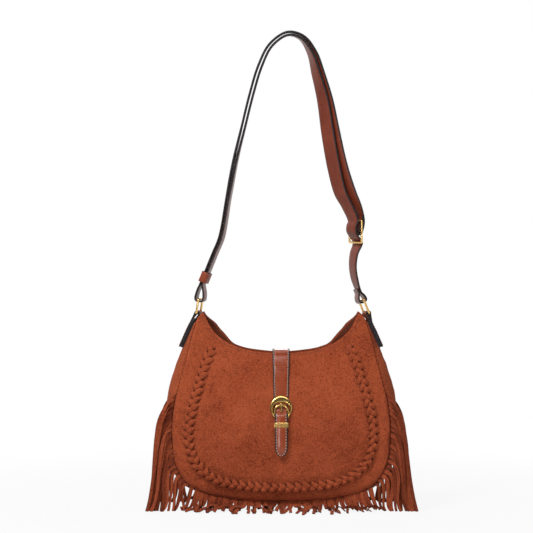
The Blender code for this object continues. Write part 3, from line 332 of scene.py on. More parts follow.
SUEDE_DARK = (0.100, 0.014, 0.005)
SUEDE_MIDDLE = (0.295, 0.053, 0.018)
SUEDE_LIGHT = (0.450, 0.092, 0.034)
FINISH = {
    "suede": suede("panel_suede", SUEDE_DARK, SUEDE_MIDDLE, SUEDE_LIGHT),
    "fringe": suede("fringe_suede_nap", (0.090, 0.014, 0.005), (0.270, 0.049, 0.017),
                    (0.390, 0.082, 0.032), 0.1),
    "fringe_low": suede("fringe_suede_shaded", (0.060, 0.009, 0.004), (0.170, 0.029, 0.011),
                        (0.260, 0.050, 0.020), 0.1),
    "braid": suede("braid_suede", (0.115, 0.017, 0.006), (0.310, 0.056, 0.019),
                   (0.420, 0.086, 0.032), 1.1),
    # Dark suede that is painted shade: in the plait's gaps and round its leaves, on strand edges, on the
    # fringe's header and on the side seam lines.
    "shade": suede("painted_shade_suede", (0.040, 0.007, 0.003), (0.090, 0.016, 0.007),
                   (0.140, 0.027, 0.011), 0.3),
    "leather": leather("closure_leather", (0.140, 0.021, 0.006), (0.275, 0.045, 0.013),
                       (0.335, 0.062, 0.019), 0.24, 900.0, 0.45),
    "loop": leather("loop_leather", (0.120, 0.018, 0.006), (0.240, 0.040, 0.013),
                    (0.300, 0.056, 0.019), 0.55, 900.0, 0.0),
    "strap": leather("strap_leather_fine", (0.080, 0.013, 0.006), (0.165, 0.028, 0.011),
                     (0.215, 0.042, 0.017), 0.34, 900.0, 0.06),
    "facing": leather("facing_leather_grain", (0.070, 0.014, 0.006), (0.140, 0.029, 0.012),
                      (0.190, 0.042, 0.018), 0.52, 700.0, 0.0),
    "lining": weave("lining_weave", (0.090, 0.034, 0.018), (0.210, 0.092, 0.052), 0.0011),
    "edge": edge_paint("edge_paint"),
    "gold": gold("antique_gold_plate", (0.560, 0.355, 0.115), (0.170, 0.095, 0.026), 0.19, 0.60),
    "brass": gold("pale_gold_plate", (0.820, 0.530, 0.200), (0.380, 0.210, 0.065), 0.16, 0.40),
    "magnet": gold("snap_nickel", (0.620, 0.580, 0.500), (0.250, 0.220, 0.180), 0.28, 0.30),
    "thread": thread("pale_thread", (0.420, 0.230, 0.150), (0.820, 0.620, 0.500)),
    "thread_dark": thread("brown_thread", (0.085, 0.020, 0.010), (0.220, 0.065, 0.032)),
}


# Curves and places, as in the model

def table(pairs, value):
    """Linear interpolation in a table of (position, value) pairs."""
    if value <= pairs[0][0]:
        return pairs[0][1]
    for (low, first), (high, second) in zip(pairs, pairs[1:]):
        if value <= high:
            return first + (second - first) * (value - low) / (high - low)
    return pairs[-1][1]


def ramp(value, start, span):
    """How much of a span a value has covered since its start, from 0 to 1."""
    return min(max((value - start) / span, 0.0), 1.0)


def ease(value):
    """A smooth step from 0 to 1."""
    value = min(max(value, 0.0), 1.0)
    return value * value * (3.0 - 2.0 * value)


def slope(before, here, after):
    """The direction and speed of a centripetal curve at a point between two others."""
    first = max((here - before).length, 1e-6) ** 0.5
    second = max((after - here).length, 1e-6) ** 0.5
    return (here - before) / first - (after - before) / (first + second) + (after - here) / second


def smooth(points, steps):
    """A smooth curve through the points, with some steps on each span."""
    result = []
    last = len(points) - 1
    for index in range(last):
        start = points[index]
        end = points[index + 1]
        span = max((end - start).length, 1e-6) ** 0.5
        before = points[index - 1] if index > 0 else start * 2 - end
        after = points[index + 2] if index + 1 < last else end * 2 - start
        leave = slope(before, start, end) * span
        arrive = slope(start, end, after) * span
        for step in range(steps):
            t = step / steps
            square = t * t
            cube = square * t
            point = start * (2 * cube - 3 * square + 1) + leave * (cube - 2 * square + t)
            result.append(point + end * (3 * square - 2 * cube) + arrive * (cube - square))
    result.append(points[last].copy())
    return result


def spread(values, steps):
    """The values with evenly blended ones between them, to go with a smoothed curve."""
    result = []
    for first, second in zip(values, values[1:]):
        for step in range(steps):
            result.append(first.lerp(second, step / steps))
    result.append(values[-1].copy())
    return result


def mirrored(half):
    """The whole curve, left to right, from its right half in the XZ plane."""
    right = [Vector((x, 0.0, z)) for x, z in half]
    left = [Vector((-point.x, 0.0, point.z)) for point in reversed(right[1:])]
    return smooth(left + right, 8)


class Route:
    """A curve that is read by its length, from 0 at its start to 1 at its end."""

    def __init__(self, points):
        self.points = points
        self.marks = [0.0]
        for first, second in zip(points, points[1:]):
            self.marks.append(self.marks[-1] + (second - first).length)
        self.length = self.marks[-1]

    def spot(self, wanted):
        """The span of the curve that holds a length along it, and the share of that span."""
        high = min(max(bisect_right(self.marks, wanted), 1), len(self.marks) - 1)
        low = high - 1
        return low, (wanted - self.marks[low]) / max(self.marks[high] - self.marks[low], 1e-9)

    def at(self, share):
        """The point at a share of the length."""
        low, part = self.spot(min(max(share, 0.0), 1.0) * self.length)
        return self.points[low].lerp(self.points[low + 1], part)

    def tangent(self, share):
        """The direction of travel at a share of the length."""
        step = 0.004
        return (self.at(share + step) - self.at(share - step)).normalized()

    def share_at_height(self, height):
        """The share at which the route first comes down to a height."""
        count = 800
        for index in range(count + 1):
            if self.at(index / count).z <= height:
                return index / count
        return 0.5


SEAM = Route(mirrored(SEAM_HALF))
MOUTH = Route(mirrored(MOUTH_HALF))
BRAID = Route(mirrored(BRAID_HALF))
LEFT_CORNER = SEAM.share_at_height(CORNER_HEIGHT)


def from_left(share, hand):
    """A share of the seam counted from its left end, hand -1, or from its right end, hand 1."""
    return share if hand < 0 else 1.0 - share


def within(start, part):
    """A share of the seam or mouth, at a part of the way from a start to the same start mirrored."""
    return start + (1.0 - 2 * start) * part


def outward(share):
    """The direction away from the bag in the plane of the seam."""
    along = SEAM.tangent(share)
    return Vector((along.z, 0.0, -along.x))


def seam_place(share, inset, shallower):
    """A seam point as (x, half depth, z), moved in by an inset."""
    point = SEAM.at(share) - outward(share) * inset
    return Vector((point.x, table(SEAM_DEPTH, SEAM.at(share).z) - shallower, point.z))


def mouth_place(share, shallower):
    """A mouth point as (x, half depth, z)."""
    point = MOUTH.at(share)
    peak = table(SEAM_DEPTH, MOUTH.at(0.0).z)
    rise = math.sin(math.pi * share) ** 0.8
    return Vector((point.x, peak + (MOUTH_DEPTH_MIDDLE - peak) * rise - shallower, point.z))


def panel_place(across, down, inset=0.0, shallower=0.0):
    """A panel point between the mouth, the side seams and the bottom seam."""
    left = seam_place(LEFT_CORNER * down, inset, shallower)
    right = seam_place(1.0 - LEFT_CORNER * down, inset, shallower)
    bottom = seam_place(within(LEFT_CORNER, across), inset, shallower)
    corners = [seam_place(0.0, inset, shallower), seam_place(1.0, inset, shallower),
               seam_place(LEFT_CORNER, inset, shallower),
               seam_place(1.0 - LEFT_CORNER, inset, shallower)]
    left_slip = corners[0] - mouth_place(0.0, shallower)
    right_slip = corners[1] - mouth_place(1.0, shallower)
    top = mouth_place(across, shallower) + left_slip.lerp(right_slip, across)
    ruled_sides = left.lerp(right, across)
    ruled_ends = top.lerp(bottom, down)
    upper = corners[0].lerp(corners[1], across)
    lower = corners[2].lerp(corners[3], across)
    place = ruled_sides + ruled_ends - upper.lerp(lower, down)
    fullness = math.sin(math.pi * across) ** 0.75 * math.sin(math.pi * down ** 1.35) ** 0.8
    place.y += PANEL_BULGE * fullness
    return place


def nearest_share(route, x, z):
    """The share of a route that lies nearest to a point in the XZ plane, and how far it is."""
    best = (1.0, 0.0)
    for index, point in enumerate(route.points):
        away = math.hypot(point.x - x, point.z - z)
        if away < best[0]:
            best = (away, route.marks[index] / route.length)
    return best[1], best[0]


# Mesh helpers

def keep(name, bm, finishes, nodes=(), body="bag", sharp=40.0):
    """Makes a smooth-shaded object that rides on a body and stands for some nodes."""
    bmesh.ops.recalc_face_normals(bm, faces=bm.faces[:])
    mesh = bpy.data.meshes.new(name)
    bm.to_mesh(mesh)
    bm.free()
    mesh.shade_smooth()
    mesh.set_sharp_from_angle(angle=math.radians(sharp))
    for finish in finishes:
        mesh.materials.append(FINISH[finish])
    made = bpy.data.objects.new(name, mesh)
    bpy.context.scene.collection.objects.link(made)
    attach(made, body)
    if nodes:
        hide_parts(*nodes)
    return made


def square_to(width, along):
    """The width direction, made square to the direction of travel."""
    return (width - along * width.dot(along)).normalized()


def neighbours(items, index, closed=False):
    """The items before and after one, which is its own neighbour at an open end."""
    if closed:
        return items[index - 1], items[(index + 1) % len(items)]
    return items[max(index - 1, 0)], items[min(index + 1, len(items) - 1)]


def circle(count):
    """The cosine and sine of evenly spread angles, all the way round."""
    angles = [2 * math.pi * step / count for step in range(count)]
    return [(math.cos(angle), math.sin(angle)) for angle in angles]


def skin(bm, rings, closed=False, tint=None, cap=0):
    """Joins rings of points; tint gives each side's material, and cap that of the two ends."""
    rings = [[bm.verts.new(point) for point in ring] for ring in rings]
    sides = len(rings[0])
    tint = tint or [cap] * sides
    for index in range(len(rings) if closed else len(rings) - 1):
        first = rings[index]
        second = rings[(index + 1) % len(rings)]
        shift = 0
        if second is rings[0]:
            shift = min(range(sides), key=lambda k: (first[0].co - second[k].co).length)
        for side in range(sides):
            after = (side + 1) % sides
            bm.faces.new((first[side], first[after], second[(after + shift) % sides],
                          second[(side + shift) % sides])).material_index = tint[side]
    if not closed:
        bm.faces.new(list(reversed(rings[0]))).material_index = cap
        bm.faces.new(rings[-1]).material_index = cap


def sheet_faces(bm, rows, material=0):
    """Joins rows of points into quads."""
    lines = [[bm.verts.new(point) for point in row] for row in rows]
    for upper, lower in zip(lines, lines[1:]):
        for index in range(len(upper) - 1):
            corners = (upper[index], lower[index], lower[index + 1], upper[index + 1])
            bm.faces.new(corners).material_index = material


def row_normals(rows):
    """Normals of a grid of points, by central differences."""
    result = []
    for i, row in enumerate(rows):
        above, below = neighbours(rows, i)
        line = []
        for j in range(len(row)):
            before, after = neighbours(row, j)
            line.append((below[j] - above[j]).cross(after - before).normalized())
        result.append(line)
    return result


def thick_sheet(bm, rows, thickness, rounding=0.7, edge=0, face=0):
    """A closed sheet with rounded or plainly cut edges, from the points of its middle surface."""
    normals = row_normals(rows)
    half = thickness / 2
    last_row = len(rows) - 1
    last = len(rows[0]) - 1
    front, back = [[[bm.verts.new(point + normal * lift) for point, normal in zip(*line)]
                    for line in zip(rows, normals)] for lift in (half, -half)]
    for i in range(last_row):
        for j in range(last):
            bm.faces.new((front[i][j], front[i + 1][j], front[i + 1][j + 1],
                          front[i][j + 1])).material_index = face
            bm.faces.new((back[i][j], back[i][j + 1], back[i + 1][j + 1],
                          back[i + 1][j])).material_index = face
    ring = [(0, j) for j in range(last)] + [(i, last) for i in range(last_row)]
    ring += [(last_row, j) for j in range(last, 0, -1)] + [(i, 0) for i in range(last_row, 0, -1)]
    rim = []
    for i, j in ring:
        out = rows[i][j] - rows[min(max(i, 1), last_row - 1)][min(max(j, 1), last - 1)]
        out = square_to(out, normals[i][j])
        rim.append(bm.verts.new(rows[i][j] + out * (half * rounding)))
    for index, (i, j) in enumerate(ring):
        k, m = ring[(index + 1) % len(ring)]
        after = rim[(index + 1) % len(ring)]
        bm.faces.new((front[i][j], front[k][m], after, rim[index])).material_index = edge
        bm.faces.new((rim[index], after, back[k][m], back[i][j])).material_index = edge


# Body of the bag

def ripple(point, scale, seed):
    """A smooth random value between -1 and 1."""
    return noise.noise(Vector((point.x * scale + seed, point.y * scale * 0.6, point.z * scale)))


def hill(value, middle, width):
    """A smooth hill, 1 at its middle."""
    return math.exp(-((value - middle) / width) ** 2)


def panel_sculpt(place, across, down, side):
    """How far the real suede stands off the plain panel: sags, puckers and pressed lines."""
    free = ease(min(across, 1.0 - across, 1.0 - down) * 9.0)
    lift = 0.0011 * ripple(place, 17.0, 3.0 * side) + 0.0005 * ripple(place, 46.0, 9.0 + side)
    lift += 0.00018 * ripple(place, 150.0, 5.0 + side)
    lift *= free * (0.35 + 0.65 * ease(down * 14.0))
    if side < 0:
        share, away = nearest_share(BRAID, place.x, place.z)
        pleat = math.sin(2 * math.pi * share * BRAID.length / BRAID_PITCH)
        if place.z < 0.205:
            lift += 0.00036 * pleat * hill(away, 0.0125, 0.0060) * free
        lift += 0.0007 * (hill(away, 0.0140, 0.0045) - hill(away, 0.0, 0.0090)) * free
    _share, away = nearest_share(SEAM, place.x, place.z)
    if place.z > 0.165 and down > 0.04:
        lift -= 0.0007 * hill(away, 0.0085, 0.0011) * ease((place.z - 0.165) / 0.02)
    lift += 0.0006 * hill(away, 0.0050, 0.0040) * ease(down * 6.0)
    return lift - 0.0009 * hill(away, 0.0, 0.0016)


def on_side(point, side):
    """A point of the back half, put on the front, side -1, or on the back, side 1.

    The back's mouth folds inward close to the two peaks."""
    if side < 0:
        return Vector((point.x, -point.y, point.z))
    wide = abs(point.x)
    fall = table(MOUTH_HALF, wide) - point.z
    reach = ease((wide - 0.058) / 0.026) * ease((0.1000 - wide) / 0.010) * ease(1.0 - fall / 0.050)
    return point + Vector((-math.copysign(0.0070, point.x) * reach, 0.0, 0.0025 * reach))


def rearward(normal):
    """The normal that points to the back, out of a panel made for the back."""
    return -normal if normal.y < 0 else normal


def grid(rows, columns, place):
    """Rows of points, from a function of the shares across and down."""
    return [[place(column / columns, row / rows) for column in range(columns + 1)]
            for row in range(rows + 1)]


def trimmed_place(across, down):
    """A panel point, with the panel's two pointed ends trimmed."""
    return panel_place(within(PANEL_TRIM, across), down)


def panel_grid(side, rows, columns):
    """The points of one sculpted suede panel."""
    plain = grid(rows, columns, trimmed_place)
    result = []
    for row, (line, normals) in enumerate(zip(plain, row_normals(plain))):
        fresh = []
        for column, (place, normal) in enumerate(zip(line, normals)):
            lift = panel_sculpt(place, column / columns, row / rows, side)
            fresh.append(on_side(place + rearward(normal) * lift, side))
        result.append(fresh)
    return result


def surface_tree(rows):
    """A search tree of a sheet's middle surface."""
    bm = bmesh.new()
    sheet_faces(bm, rows)
    bm.normal_update()
    tree = BVHTree.FromBMesh(bm)
    bm.free()
    return tree


def make_panels():
    """The two suede panels; returns the search tree of the front one."""
    for side, name in SIDES:
        rows = panel_grid(side, 88, 112)
        if side < 0:
            tree = surface_tree(rows)
        bm = bmesh.new()
        thick_sheet(bm, rows, SUEDE)
        keep(name + "_panel_suede", bm, ["suede"], [name + "_panel"], sharp=75.0)
    return tree


def seam_gap(height):
    """How far the gusset's edge stays behind the panel's."""
    plain = SUEDE + GAP * 2
    fringed = FRINGE_SEAT + FRINGE_LEATHER / 2 + GAP + SUEDE * 0.42
    return plain + (fringed - plain) * ramp(-height, -(FRINGE_TOP + 0.012), 0.008)


def gusset_place(share, across, sculpt=0.0):
    """A point of the gusset, which stands out between the two seams."""
    point = SEAM.at(share)
    depth = table(SEAM_DEPTH, point.z) - seam_gap(point.z)
    crown = table(GUSSET_CROWN, point.z) * (1.0 - abs(across) ** 2.2)
    place = point + outward(share) * (crown + sculpt)
    return Vector((place.x, depth * across, place.z))


def make_gusset():
    """The suede strip round the sides and the bottom."""
    start = SEAM.share_at_height(GUSSET_TOP)

    def place(across, down):
        share = within(start, down)
        across = 2.0 * across - 1.0
        plain = gusset_place(share, across)
        free = ease((1.0 - abs(across)) * 2.2) * ease((0.232 - plain.z) / 0.03)
        dent = 0.0012 * ripple(plain, 30.0, 21.0) + 0.0005 * ripple(plain, 90.0, 4.0)
        return gusset_place(share, across, dent * free)

    bm = bmesh.new()
    thick_sheet(bm, grid(240, 16, place), SUEDE)
    keep("gusset_suede", bm, ["suede"], ["gusset"], sharp=75.0)


def inner_rows(side, first, last, rows, columns):
    """Rows of points on a sheet inside the bag."""
    return grid(rows, columns, lambda across, down: on_side(
        panel_place(across, first + (last - first) * down, LINING_INSET, LINING_DEPTH), side))


def make_inside():
    """The leather facings and the cloth lining."""
    for side, name in SIDES:
        bm = bmesh.new()
        thick_sheet(bm, inner_rows(side, FACING_START, FACING_WIDTH, 8, 70), LINING_CLOTH)
        keep("facing_" + name + "_leather", bm, ["facing"], ["facing_" + name])
    first = FACING_WIDTH + FACING_START
    bm = bmesh.new()
    count = 26
    columns = 34
    for side, _name in SIDES:
        rows = inner_rows(side, first, 1.0, count, columns)
        for row, line in enumerate(rows):
            for column, place in enumerate(line):
                free = ease(min(column, columns - column) / 5.0) * ease(min(row, count - row) / 5.0)
                place.y -= side * 0.0022 * free * (0.5 + 0.5 * ripple(place, 34.0, 31.0 + side))
        sheet_faces(bm, rows)
    shares = [LEFT_CORNER * (first + (1.0 - first) * row / count) for row in range(count)]
    bottom = [within(LEFT_CORNER, column / columns) for column in range(columns + 1)]
    rows = []
    for share in shares + bottom + [1.0 - share for share in reversed(shares)]:
        edge = seam_place(share, LINING_INSET, LINING_DEPTH)
        rows.append([Vector((edge.x, edge.y * step / 6.0, edge.z)) for step in range(-6, 7)])
    sheet_faces(bm, rows)
    bmesh.ops.remove_doubles(bm, verts=bm.verts[:], dist=0.00005)
    made = keep("lining_cloth", bm, ["lining"], ["lining"], sharp=60.0)
    shell = made.modifiers.new("thickness", "SOLIDIFY")
    shell.thickness = LINING_CLOTH * 0.7
    shell.offset = 0.0


def tube(bm, points, radius, sides=8, closed=False, taper=None, material=0):
    """A round tube along points; taper gives the radius share at each point."""
    rings = []
    normal = None
    for index, point in enumerate(points):
        before, after = neighbours(points, index, closed)
        along = (after - before).normalized()
        normal = square_to(along.orthogonal() if normal is None else normal, along)
        other = along.cross(normal)
        size = radius * (taper[index] if taper else 1.0)
        rings.append([point + (normal * cos + other * sin) * size for cos, sin in circle(sides)])
    skin(bm, rings, closed, cap=material)


def stitches(bm, stations, pitch=STITCH_PITCH, length=STITCH, radius=THREAD):
    """Stitches along (point, normal) stations: short humps of thread that dip at both ends."""
    route = Route([point for point, _normal in stations])
    count = max(int(route.length / pitch), 1)
    step = route.length / count
    for index in range(count):
        start = step * index + (step - length) / 2
        hump = []
        for share, rise in ((0.0, -0.9), (0.14, 0.25), (0.5, 0.75), (0.86, 0.25), (1.0, -0.9)):
            low, part = route.spot(start + length * share)
            point = stations[low][0].lerp(stations[low + 1][0], part)
            normal = stations[low][1].lerp(stations[low + 1][1], part).normalized()
            hump.append(point + normal * rise * radius)
        tube(bm, hump, radius, 6, taper=(0.55, 0.95, 1.1, 0.95, 0.55))


def on_tree(tree, x, z, lift):
    """A point over the front panel at x and z, lifted off it, and the panel's normal there."""
    hit, normal, _index, _distance = tree.ray_cast(Vector((x, -0.5, z)), Vector((0.0, 1.0, 0.0)))
    if hit is None:
        hit, normal, _index, _distance = tree.find_nearest(Vector((x, -0.05, z)))
    if normal.y > 0:
        normal = -normal
    return hit + normal * lift, normal


def make_mouth_trim():
    """The dark piping on the mouth's edges, and the line of stitches below it."""
    for side, name in SIDES:
        bm = bmesh.new()
        tops = [trimmed_place(index / 140, 0.0) for index in range(141)]
        tube(bm, [on_side(top + Vector((0.0, -0.0001, 0.0002)), side) for top in tops], PIPING)
        keep("mouth_edge_" + name, bm, ["fringe_low"])
        bm = bmesh.new()
        line = []
        for index in range(161):
            across = 0.012 + 0.976 * index / 160
            place = panel_place(across, MOUTH_STITCHES)
            below = panel_place(across, 0.030)
            beside = panel_place(min(across + 0.004, 1.0), MOUTH_STITCHES)
            normal = rearward((below - place).cross(beside - place).normalized())
            lift = panel_sculpt(place, across, MOUTH_STITCHES, side) + SUEDE / 2
            line.append((on_side(place + normal * lift, side),
                         Vector((normal.x, normal.y * side, normal.z))))
        stitches(bm, line, 0.0031, 0.0020, 0.00034)
        keep("mouth_stitches_" + name, bm, ["thread_dark"])


def make_side_seam_shade():
    """The seam where each panel is sewn to the gusset, above the fringe, drawn as a thin tube of dark
    suede that is painted shade.
    """
    top = SEAM.share_at_height(GUSSET_TOP)
    low = SEAM.share_at_height(FRINGE_TOP - 0.004)
    for side, name in SIDES:
        bm = bmesh.new()
        for hand in (-1, 1):
            points = []
            for index in range(41):
                share = from_left(top + (low - top) * index / 40, hand)
                place = SEAM.at(share) - outward(share) * 0.0006
                place.y = (table(SEAM_DEPTH, place.z) + SUEDE / 2) * side
                points.append(place)
            tube(bm, points, 0.00042, 6)
        keep("side_seam_shade_" + name, bm, ["shade"])


# Fringe

def strand_path(share, order):
    """Centre points, depths and width directions of one fringe strand, from the seam to its tip."""
    away = outward(share)
    along = SEAM.tangent(share)
    hand = math.copysign(1.0, away.x)
    root = SEAM.at(share) + away * HEADER_OUTER
    depth = table(SEAM_DEPTH, SEAM.at(share).z) - FRINGE_SEAT
    foot = FRINGE_LEATHER / 2
    path = [(root, depth, along)]
    if along.x < 0:
        along = -along
    if abs(away.x) < FLOOR_SIDEWAYS:
        return floor_strand(root, depth, along, away, foot)
    shift = (FRINGE_LAYERS - 1 - order % FRINGE_LAYERS) * LAYER_PITCH + DICE.uniform(0.0, 0.0012)
    wide = abs(root.x)
    cap = wide + 0.0065 + 0.0260 * ramp(root.z, 0.040, 0.110)
    swing = DICE.uniform(-0.0024, 0.0024)
    twist = DICE.uniform(-0.8, 0.8)
    curl = DICE.uniform(0.0010, 0.0075)
    for fall, settled, turn in ((0.07, 0.70, 0.45), (0.20, 0.93, 0.8), (0.36, 1.0, 1.0),
                                (0.55, 1.0, 1.0), (0.74, 1.0, 1.0), (0.90, 1.0, 1.0),
                                (1.0, 1.0, 1.0)):
        height = root.z + (foot - root.z) * fall
        line = min(table(FRINGE_OUTLINE, height) - order * NEST_PITCH, cap)
        reach = wide + (line - wide) * settled
        reach += swing * math.sin(fall * 5.0) + curl * ease((fall - 0.84) / 0.16)
        hang = table(SEAM_DEPTH, height) - FRINGE_SEAT + shift + 0.0022 * ease((fall - 0.8) / 0.2)
        width = along.lerp(ACROSS, turn) + Vector((0.0, twist * fall, 0.0))
        path.append((Vector((hand * reach, 0.0, height)), hang, width))
    return path


def floor_strand(root, depth, along, away, foot):
    """A bottom strand: it drops from the seam, folds on the floor and straggles forward."""
    group = ripple(Vector((root.x, depth, 0.0)), 70.0, 2.0) * 1.6
    heading = 0.75 * group + 8.0 * root.x + DICE.uniform(-0.55, 0.55)
    heading = max(min(heading, 1.3), -1.3)
    length = FLOOR_LENGTH * (1.0 - abs(away.x)) * DICE.uniform(0.50, 1.0)
    bow = DICE.uniform(0.002, 0.0080)
    lift = foot + DICE.choice((0.0, 0.0011, 0.0022, 0.0033, 0.0044))
    lean = away.x * 0.006
    drift = math.sin(heading)
    knee = Vector((lean * 0.4 + drift * 0.0020, 0.0, -root.z * 0.40))
    landing = depth + bow + 0.001
    path = [(root, depth, along),
            (root + knee, depth + bow * 0.5 + 0.0008, ACROSS + Vector((0.0, 0.30 * drift, 0.10 * group))),
            (Vector((root.x + lean + drift * 0.0065, 0.0, lift + 0.0022)), landing,
             ACROSS + Vector((0.0, 0.5 * drift, 0.25 * group)))]
    for step in (0.33, 0.66, 1.0):
        side = drift * (0.0065 + length * 0.70 * step) + 0.0020 * math.sin(step * 4.0 + group * 5.0)
        hop = 0.0032 * math.sin(math.pi * step) * (0.6 + abs(group))
        turn = 1.3 * abs(drift) * (0.7 + 0.3 * math.sin(step * 3.0 + group * 4.0))
        width = Vector((math.cos(heading), -math.sin(heading), -turn))
        stand = turn / math.sqrt(1.0 + turn * turn)
        height = foot + (lift - foot) * (1.0 - 0.5 * step) + hop + STRAND_TIP_WIDTH * 0.5 * stand
        path.append((Vector((root.x + lean + side, 0.0, height)),
                     landing + length * step * math.cos(heading), width))
    return path


def strand_rows(path, side, slim, index):
    """Rows of three points over one strand, slightly cupped and uneven in width."""
    points = smooth([Vector((p.x, d * side, p.z)) for p, d, _w in path], 4)
    widths = spread([Vector((w.x, w.y * side, w.z)).normalized() for _p, _d, w in path], 4)
    rows = []
    for step, point in enumerate(points):
        share = step / (len(points) - 1)
        before, after = neighbours(points, step)
        along = (after - before).normalized()
        width = square_to(widths[step], along)
        if width.x < 0:
            width = -width
        half = (STRAND_WIDTH + (STRAND_TIP_WIDTH - STRAND_WIDTH) * share) / 2
        half *= slim * (1.0 + 0.10 * math.sin(share * 9.0 + index * 1.7))
        cup = width.cross(along) * (0.0004 * math.sin(share * 6.0 + index))
        row = [point - width * half, point + cup, point + width * half]
        for place in row:
            place.z = max(place.z, FRINGE_LEATHER * 0.55)
        rows.append(row)
    return rows


def make_fringe():
    """Both strips of fringe, cut into strands, each with its own fall."""
    start = SEAM.share_at_height(FRINGE_TOP)
    count = int(round((1.0 - 2 * start) * SEAM.length / STRAND_PITCH))

    def header(across, down):
        share = within(start, down)
        step = (-HEADER_INNER, -0.0002, HEADER_OUTER)[round(across * 2)]
        point = SEAM.at(share) + outward(share) * step
        depth = table(SEAM_DEPTH, SEAM.at(share).z) - FRINGE_SEAT
        return Vector((point.x, depth * side, point.z))

    for side, name in SIDES:
        bm = bmesh.new()
        # The header takes the dark suede on every face: painted shade in a line just below the panel's
        # edge.
        thick_sheet(bm, grid(160, 2, header), FRINGE_LEATHER, edge=1, face=1)
        for half_step in range(2 * count - 1):
            index = half_step // 2
            middle = within(start, (half_step + 1) / (2 * count))
            if half_step % 2 and abs(outward(middle).x) > FLOOR_SIDEWAYS - 0.10:
                continue
            slim = DICE.uniform(0.72, 1.04)
            path = strand_path(middle, min(index, count - 1 - index))
            # Strand edges take the dark suede, painted shade between the strands; one strand in three, at
            # random, takes the shaded copy of the fringe suede, also painted shade.
            thick_sheet(bm, strand_rows(path, side, slim, index), FRINGE_LEATHER, 0.05, 1,
                        2 * DICE.choice((0, 0, 1)))
        keep("fringe_" + name + "_strands", bm, ["fringe", "shade", "fringe_low"],
             ["fringe_" + name], sharp=45.0)


# Plaited lace

def braid_point(tree, along, across, lift):
    """A point on the front panel, by its place along and across the plait."""
    share = along / BRAID.length
    way = BRAID.tangent(min(max(share, 0.004), 0.996))
    past = min(share, 0.0) + max(share - 1.0, 0.0)
    flat = BRAID.at(share) + way * (past * BRAID.length) + Vector((-way.z, 0.0, way.x)) * across
    return on_tree(tree, flat.x, flat.z, SUEDE / 2 + lift)[0]


def make_braid(tree):
    """The herringbone plait: plump suede leaves in pairs, over a narrow dark band that is painted shade
    in the gaps between them.
    """
    bm = bmesh.new()
    # The band takes the dark suede: painted shade where the panel shows between the leaves.
    band = ((-0.0052, -0.0002), (-0.0040, 0.0006), (0.0, 0.0008), (0.0040, 0.0006), (0.0052, -0.0002))
    sheet_faces(bm, [[braid_point(tree, BRAID.length * index / 220, across, lift)
                      for across, lift in band] for index in range(221)], 1)
    count = int(round(BRAID.length / BRAID_PITCH))
    for index in range(count):
        for hand, turn in ((-1, 0.25), (1, 0.75)):
            jitter = DICE.uniform(-0.0005, 0.0005)
            size = DICE.uniform(0.95, 1.06)
            leaf(bm, tree, (index + turn) * BRAID.length / count + jitter, hand, size)
    keep("braid_leaves", bm, ["braid", "shade"], ["braid_lace"], sharp=80.0)


def leaf(bm, tree, along, hand, size):
    """One leaf of the plait: its broad root lies under the next leaf, and its end is a point."""
    steps = 12
    section = circle(16)
    far = min(along, BRAID.length - along)
    plump = 0.60 + 0.40 * ease(far / 0.060)
    length, half_width, lean = (0.0132, 0.0041, 42.0) if hand > 0 else (0.0116, 0.0039, 48.0)
    lean = math.radians(lean)
    way = Vector((-math.cos(lean), hand * math.sin(lean)))
    side_way = Vector((-way.y, way.x)) * hand
    rings = []
    for step in range(steps + 1):
        share = step / steps
        bend = 0.0009 * math.sin(math.pi * share)
        base = Vector((along + 0.0052, hand * -0.0012)) + way * (length * size * share) + side_way * bend
        body = table(LEAF_BODY, share)
        rise = 0.0002 + 0.0018 * plump * math.sin(math.pi * min(share * 1.02, 1.0)) ** 0.7
        thick = 0.0031 * size * plump * (0.40 + 0.60 * math.sin(math.pi * min(0.1 + share, 1.0)))
        ring = []
        for cos, sin in section:
            spot = base + side_way * (half_width * size * body * cos)
            ring.append(braid_point(tree, spot.x, spot.y, rise + thick * body ** 0.6 * sin))
        rings.append(ring)
    # Upper faces take the braid suede; the flanks and underside take the dark suede, painted shade round
    # each leaf.
    tint = [0 if 1 <= side <= 6 else 1 for side in range(len(section))]
    skin(bm, rings, tint=tint, cap=1)


# Straps

def strap_mesh(bm, stations, thickness, cyclic=False, crown=None, edge=0.0003):
    """A leather strap with rounded, painted edges (second material) on its two long sides.

    The thickness and the crown, how far the faces swell, hold one number for each station."""
    outline = [(across, 1.0, 0) for across in (-1.0, -0.5, 0.0, 0.5, 1.0)]
    outline += [(1.0, 0.45, 1), (1.0, -0.45, 1)]
    outline += [(-across, -up, painted) for across, up, painted in outline]
    middles = [centre for centre, _width, _half in stations]
    rings = []
    for index, (centre, width, half_width) in enumerate(stations):
        before, after = neighbours(middles, index, cyclic)
        normal = (after - before).normalized().cross(width).normalized()
        swell = crown[index] if crown else 0.0
        ring = []
        for across, up, painted in outline:
            reach = half_width if painted else max(half_width - edge, half_width * 0.5)
            lift = thickness[index] / 2 * up
            if not painted:
                lift += swell * (1.0 - across * across) * up
            ring.append(centre + width * (across * reach) + normal * lift)
        rings.append(ring)
    painted = [one[2] or two[2] for one, two in zip(outline, outline[1:] + outline[:1])]
    skin(bm, rings, cyclic, painted, 1)


def along_stations(path, steps, half_width):
    """Stations of a strap along smoothed (point, width) pairs."""
    points = smooth([point for point, _width in path], steps)
    widths = spread([width for _point, width in path], steps)
    stations = []
    for index, point in enumerate(points):
        before, after = neighbours(points, index)
        stations.append((point, square_to(widths[index], (after - before).normalized()), half_width))
    return stations


def strap_face(stations, thickness, across, face, index, lift=0.0):
    """The point and normal of a strap's face at a station, at a distance across it."""
    centre, width, _half = stations[index]
    before, after = neighbours(stations, index)
    normal = (after[0] - before[0]).normalized().cross(width).normalized() * face
    return centre + width * across + normal * (thickness / 2 + lift), normal


